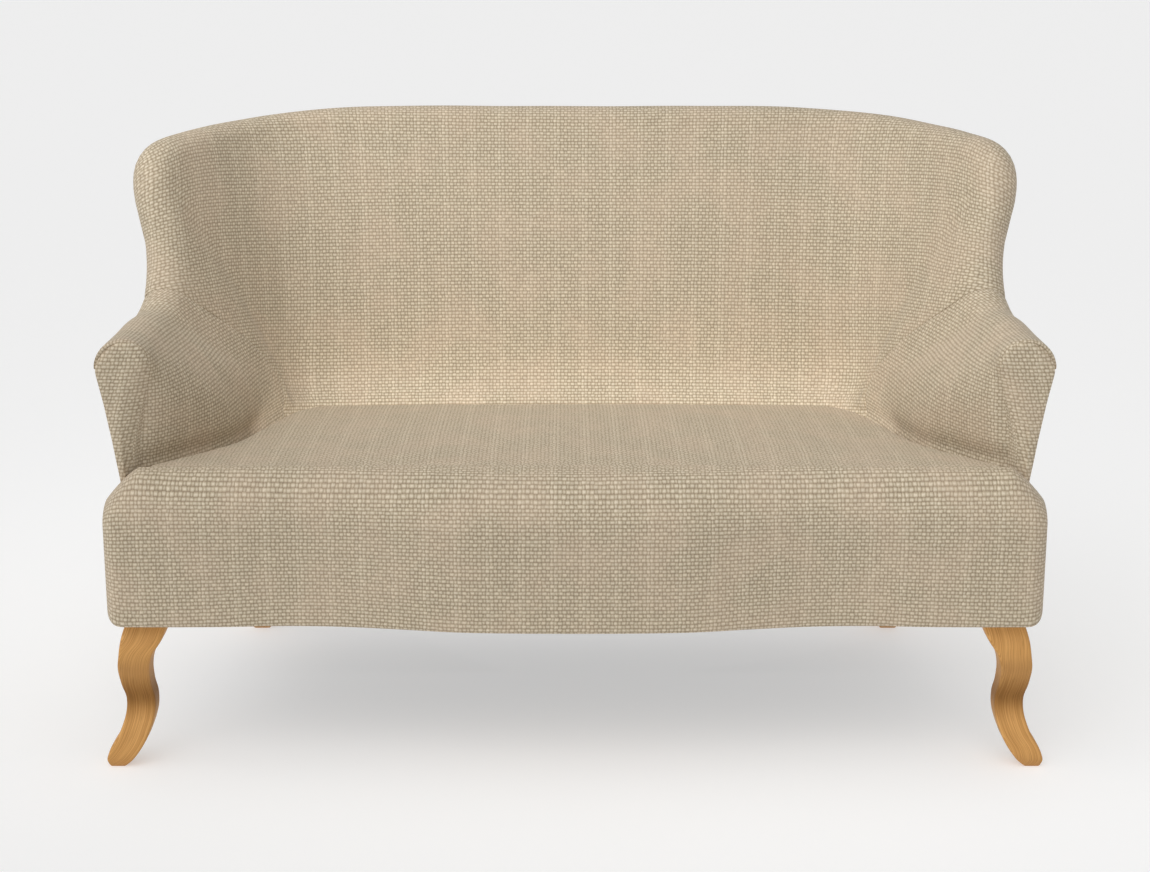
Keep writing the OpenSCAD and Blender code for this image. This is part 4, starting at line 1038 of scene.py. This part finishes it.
    # colour by height, with painted shade in the gaps and painted highlight on the crests, a little warmer in
    # patches, and by chance from float to float
    warmth = addNode(tree, rangeNode, patch, *s["warmFrom"], 0, s["warmth"], interpolation_type=eased)[0]
    # painted shade and painted highlight: the gaps are darker and the crests creamier, by the yarn's height
    raised = addNode(tree, rangeNode, height, *s["yarnFrom"], interpolation_type=eased)[0]
    paintedHighlight = addNode(tree, rangeNode, height, *s["crestHighlightFrom"], interpolation_type=eased)[0]
    colour = linear(s["gapPaintedShade"])
    for share, other in ((raised, "yarn"), (paintedHighlight, "top"), (warmth, "warm")):
        colour = addNode(tree, mixNode, {0: share, 6: colour, 7: linear(s[other])}, data_type="RGBA")[2]
    tone = addNode(tree, mathNode, chance, s["floatTone"], 1 - s["floatTone"], operation="MULTIPLY_ADD")[0]
    broad = addNode(tree, mathNode, patch, s["patchTone"], 1 - s["patchTone"] / 2, operation="MULTIPLY_ADD")[0]
    tone = addNode(tree, mathNode, tone, broad, operation="MULTIPLY")[0]
    colour = addNode(tree, vectorNode, {0: colour, "Scale": tone}, operation="SCALE")[0]
    relief = addNode(tree, bumpNode, {
        "Height": height, "Distance": s["relief"] * mm, "Strength": s["strength"]})[0]
    tree.links.new(colour, shader.inputs["Base Color"])
    tree.links.new(relief, shader.inputs["Normal"])
    return material


# Honey oak, planed, sanded and satin lacquered: long grain lines, fine open pores, a soft gloss, and painted
# shade, a greyer darker colour in the hollow and at the foot. Widths and lengths of lines in mm, painted shade
# by share of the leg's height
oak = {
    "light": "#D3A061", "dark": "#B8864B", "pore": "#754E28",
    "line": 1.3, "run": 170, "poreLine": 0.8, "poreRun": 30,
    # painted shade: a greyer colour multiplied in at the leg's hollow and foot, by share of its height
    "paintedShadeColour": "#BAB09C", "stainAndPaintedShade": [(0, 0.3), (0.1, 0), (0.28, 0), (0.47, 1), (0.66, 0.35), (0.85, 0), (1, 0)],
}
# Steamed beech, sawn and left bare: pale pinkish brown with short flecks
beech = {
    "light": "#D8B48A", "dark": "#C39A6E", "pore": "#9C7148",
    "line": 5, "run": 120, "poreLine": 1.2, "poreRun": 6,
}
# In both woods: where in the noise grain and pores start and end, and how dark and deep in mm the pores are
grainFrom, poreFrom, poreTone, poreDepth, poreStrength = (0.38, 0.66), (0.58, 0.75), 0.5, 0.15, 0.4


def woodMaterial(name, s, layer=None, **sockets):
    material, tree, shader = newMaterial(name, **sockets)
    if layer:  # the grain follows the piece's own map
        place = addNode(tree, mapNode, uv_map=layer)[0]
    else:  # or runs along the rails
        place = addNode(tree, placeNode)["Object"]
    drawn = []
    for wide, long in ((s["line"] * mm, s["run"] * mm), (s["poreLine"] * mm, s["poreRun"] * mm)):
        scale = (1 / wide, 1 / long, 1) if layer else (1 / long, 1 / wide, 1 / wide)
        drawn.append(addNode(tree, "ShaderNodeMapping", {0: place, 3: scale})[0])
    grain = addNode(tree, noiseNode, {"Vector": drawn[0], "Scale": 1.0, "Detail": 3.0, "Distortion": 0.15})[0]
    grain = addNode(tree, rangeNode, grain, *grainFrom, interpolation_type=eased)[0]
    pore = addNode(tree, noiseNode, {"Vector": drawn[1], "Scale": 1.0, "Detail": 2.0})[0]
    pore = addNode(tree, rangeNode, pore, *poreFrom)[0]
    dark = addNode(tree, mathNode, pore, poreTone, operation="MULTIPLY")[0]
    colour = linear(s["light"])
    for share, other in ((grain, "dark"), (dark, "pore")):
        colour = addNode(tree, mixNode, {0: share, 6: colour, 7: linear(s[other])}, data_type="RGBA")[2]
    # painted shade: the leg's hollow and foot are darkened and greyed by height, where the leg lies in shade
    if "stainAndPaintedShade" in s:
        height = addNode(tree, rangeNode, addNode(tree, splitNode, place)[1], 0, legTop * mm)[0]
        stainAndPaintedShade = addNode(tree, rampNode, height, stops=s["stainAndPaintedShade"])[0]
        colour = addNode(tree, mixNode, {0: stainAndPaintedShade, 6: colour, 7: linear(s["paintedShadeColour"])},
                         data_type="RGBA", blend_type="MULTIPLY")[2]
    sunk = addNode(tree, mathNode, pore, -1.0, operation="MULTIPLY")[0]
    relief = addNode(tree, bumpNode, {"Height": sunk, "Distance": poreDepth * mm, "Strength": poreStrength})[0]
    tree.links.new(colour, shader.inputs["Base Color"])
    tree.links.new(relief, shader.inputs["Normal"])
    return material


# Steel, drawn or pressed: zinc plate is pale and a little cloudy, spring wire darker with oil. Clouds in mm
def steelMaterial(name, light, dark, cloud, roughness):
    material, tree, shader = newMaterial(name, Metallic=1.0, Roughness=roughness)
    place = addNode(tree, placeNode)["Object"]
    stainAndPaintedShade = addNode(tree, noiseNode, {"Vector": place, "Scale": 1 / (cloud * mm), "Detail": 3.0})[0]
    colour = addNode(tree, mixNode, {0: stainAndPaintedShade, 6: linear(light), 7: linear(dark)}, data_type="RGBA")[2]
    rough = addNode(tree, rangeNode, {0: stainAndPaintedShade, 3: roughness - 0.08, 4: roughness + 0.1})[0]
    tree.links.new(colour, shader.inputs["Base Color"])
    tree.links.new(rough, shader.inputs["Roughness"])
    return material


# Plain cloths under the cover, matt: brown hessian, dark rubber webbing and black felt. Threads in mm
def clothMaterial(name, thread, light, dark):
    material, tree, shader = newMaterial(name, Roughness=0.95, Specular_IOR_Level=0.15)
    place = addNode(tree, placeNode)["Object"]
    waves = []
    for way in list(addNode(tree, splitNode, place))[:2]:
        turns = addNode(tree, mathNode, way, 2 * math.pi / (thread * mm), operation="MULTIPLY")[0]
        waves.append(addNode(tree, mathNode, turns, operation="SINE")[0])
    crossed = addNode(tree, mathNode, *waves, operation="MULTIPLY")[0]
    crossed = addNode(tree, mathNode, crossed, 0.5, 0.5, operation="MULTIPLY_ADD")[0]
    mottle = addNode(tree, noiseNode, {"Vector": place, "Scale": 1 / (3 * thread * mm), "Detail": 3.0})[0]
    share = addNode(tree, mathNode, crossed, mottle, operation="MULTIPLY")[0]
    colour = addNode(tree, mixNode, {0: share, 6: linear(dark), 7: linear(light)}, data_type="RGBA")[2]
    relief = addNode(tree, bumpNode, {"Height": crossed, "Distance": 0.3 * mm, "Strength": 0.5})[0]
    tree.links.new(colour, shader.inputs["Base Color"])
    tree.links.new(relief, shader.inputs["Normal"])
    return material


def setMaterial(piece, material):
    piece.data.materials.clear()
    piece.data.materials.append(material)


def place(piece, slot, *nodes):
    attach(piece, "root")
    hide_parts(*nodes)


# Studio: a pale floor, a dim sky, broad soft lights from the front, left, right and above, two soft boxes over
# the seat and before the back, and the photograph's viewpoint
studio = {
    "floor": "#DFDFDF", "floorGlow": 0.297, "floorSize": 60, "sky": "#FFFFFF", "skyStrength": 0.325,
    "suns": {  # strength, from, softness, casts shadows
        "frontLight": (0.63, (-0.5, -2.6, 2.6), 50, True),
        "leftLight": (0.93, (-3.0, -1.25, 2.0), 60, False),
        "rightFill": (0.13, (2.6, -1.3, 1.2), 60, False),
        "topLight": (0.4, (-0.3, -0.6, 3.0), 80, True),
    },
    "boxes": {  # power, place, target, width and height, spread, casts shadows
        "seatBox": (2.5, (-0.3, -0.45, 1.7), (0, 0.3, 0.45), (2.4, 0.4), 100, False),
        "backBox": (0.5, (0, -0.05, 0.395), (0, 0.3, 0.5), (1.0, 0.06), 115, False),
    },
}
view = {"eye": (0, -3331, 1290), "pitch": 14.5, "focal": 2146, "imageWidth": 1150, "sensor": 36}


def addLamp(name, kind, strength, at, target, shadow, **sizes):
    lamp = bpy.data.lights.new(name, kind)
    lamp.energy, lamp.use_shadow = strength, shadow
    for key, value in sizes.items():
        setattr(lamp, key, value)
    holder = bpy.data.objects.new(name, lamp)
    holder.location = at
    holder.rotation_euler = (Vector(target) - Vector(at)).to_track_quat("-Z", "Y").to_euler()
    holder.visible_camera = False
    bpy.context.scene.collection.objects.link(holder)


def makeStudio(s=studio, v=view):
    camera = bpy.data.objects.new("camera", bpy.data.cameras.new("camera"))
    camera.location = [c * mm for c in v["eye"]]
    camera.rotation_euler = (math.radians(90 - v["pitch"]), 0, 0)
    camera.data.sensor_width = v["sensor"]
    camera.data.lens = v["focal"] / v["imageWidth"] * v["sensor"]
    bpy.context.scene.collection.objects.link(camera)
    bpy.context.scene.camera = camera
    world = bpy.data.worlds.new("studio")
    world.use_nodes = True
    world.node_tree.nodes["Background"].inputs[0].default_value = linear(s["sky"])
    world.node_tree.nodes["Background"].inputs[1].default_value = s["skyStrength"]
    bpy.context.scene.world = world
    for name, (strength, source, softness, shadow) in s["suns"].items():
        addLamp(name, "SUN", strength, source, (0, 0, 0), shadow, angle=math.radians(softness))
    for name, (power, at, target, size, spread, shadow) in s["boxes"].items():
        addLamp(name, "AREA", power, at, target, shadow, shape="RECTANGLE", size=size[0], size_y=size[1],
                spread=math.radians(spread))
    half = s["floorSize"] / 2
    mesh = bpy.data.meshes.new("floor")
    corners = [(-half, -half, 0), (half, -half, 0), (half, half, 0), (-half, half, 0)]
    mesh.from_pydata(corners, [], [(0, 1, 2, 3)])
    floor = bpy.data.objects.new("floor", mesh)
    bpy.context.scene.collection.objects.link(floor)
    material, _, shader = newMaterial("studioFloor", Roughness=0.9, Specular_IOR_Level=0.1)
    shader.inputs["Base Color"].default_value = linear(s["floor"])
    shader.inputs["Emission Color"].default_value = (1, 1, 1, 1)
    shader.inputs["Emission Strength"].default_value = s["floorGlow"]
    setMaterial(floor, material)
    bpy.context.scene.view_settings.view_transform = "Standard"


makeStudio()
print("studio ready")

basketWeave = weaveMaterial("basketWeaveCotton")
oakWood = woodMaterial("honeyOak", oak, "grain", Roughness=0.5, Specular_IOR_Level=0.16)
beechWood = woodMaterial("steamedBeech", beech, Roughness=0.65)
zinc = steelMaterial("zincPlatedSteel", "#C9CCD0", "#A7ACB2", 18, 0.38)
wire = steelMaterial("oiledSpringWire", "#8D8E90", "#5E5E60", 25, 0.42)
hessian = clothMaterial("juteHessian", 2.5, "#C2A679", "#8B6F47")
webbing = clothMaterial("rubberWebbing", 1.6, "#5B5B5E", "#2E2E30")
felt = clothMaterial("blackFelt", 1.2, "#2C2C2E", "#161617")
print("materials ready")

insideBack = makeInsideBack()
arms, armFront = makeInsideArms()
facings = makeFacings(armFront)
seatPad = makeSeatPad()
frontBorder = makeFrontBorder()
makeOutside()
legs = makeLegs()
hidden = {
    "dustCover": (makeDustCover(), felt, "dust_cloth", "dust_cover"),
    "springCover": (makeSpringCover(), hessian, "spring_cloth", "spring_cover"),
    "backWebbing": (makeBackWebbing(), webbing, "elastic_webbing", "back_webbing"),
}
dustStaples = makeStaples(zinc)
print("pieces ready")

covers = {
    "insideBack": "inside_back", "insideArmRight": "inside_arm_right", "insideArmLeft": "inside_arm_left",
    "armFacingRight": "arm_facing_right", "armFacingLeft": "arm_facing_left", "seatPad": "seat_pad",
    "frontBorder": "front_border", "outsideArmRight": "outside_arm_right",
    "outsideArmLeft": "outside_arm_left", "outsideBack": "outside_back",
}
for name, node in covers.items():
    setMaterial(bpy.data.objects[name], basketWeave)
    place(bpy.data.objects[name], "basket_weave", node)
for leg, node in zip(legs, ["front_leg_right", "rear_leg_right", "front_leg_left", "rear_leg_left"]):
    setMaterial(leg, oakWood)
    place(leg, "oak", node)
for piece, material, slot, node in hidden.values():
    setMaterial(piece, material)
    place(piece, slot, node)
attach(dustStaples, "root")
finishes = {"beech": beechWood, "zinc_steel": zinc, "spring_steel": wire}
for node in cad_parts.values():
    if node.data.materials[0].name in finishes:
        node.material_slots[0].material = finishes[node.data.materials[0].name]
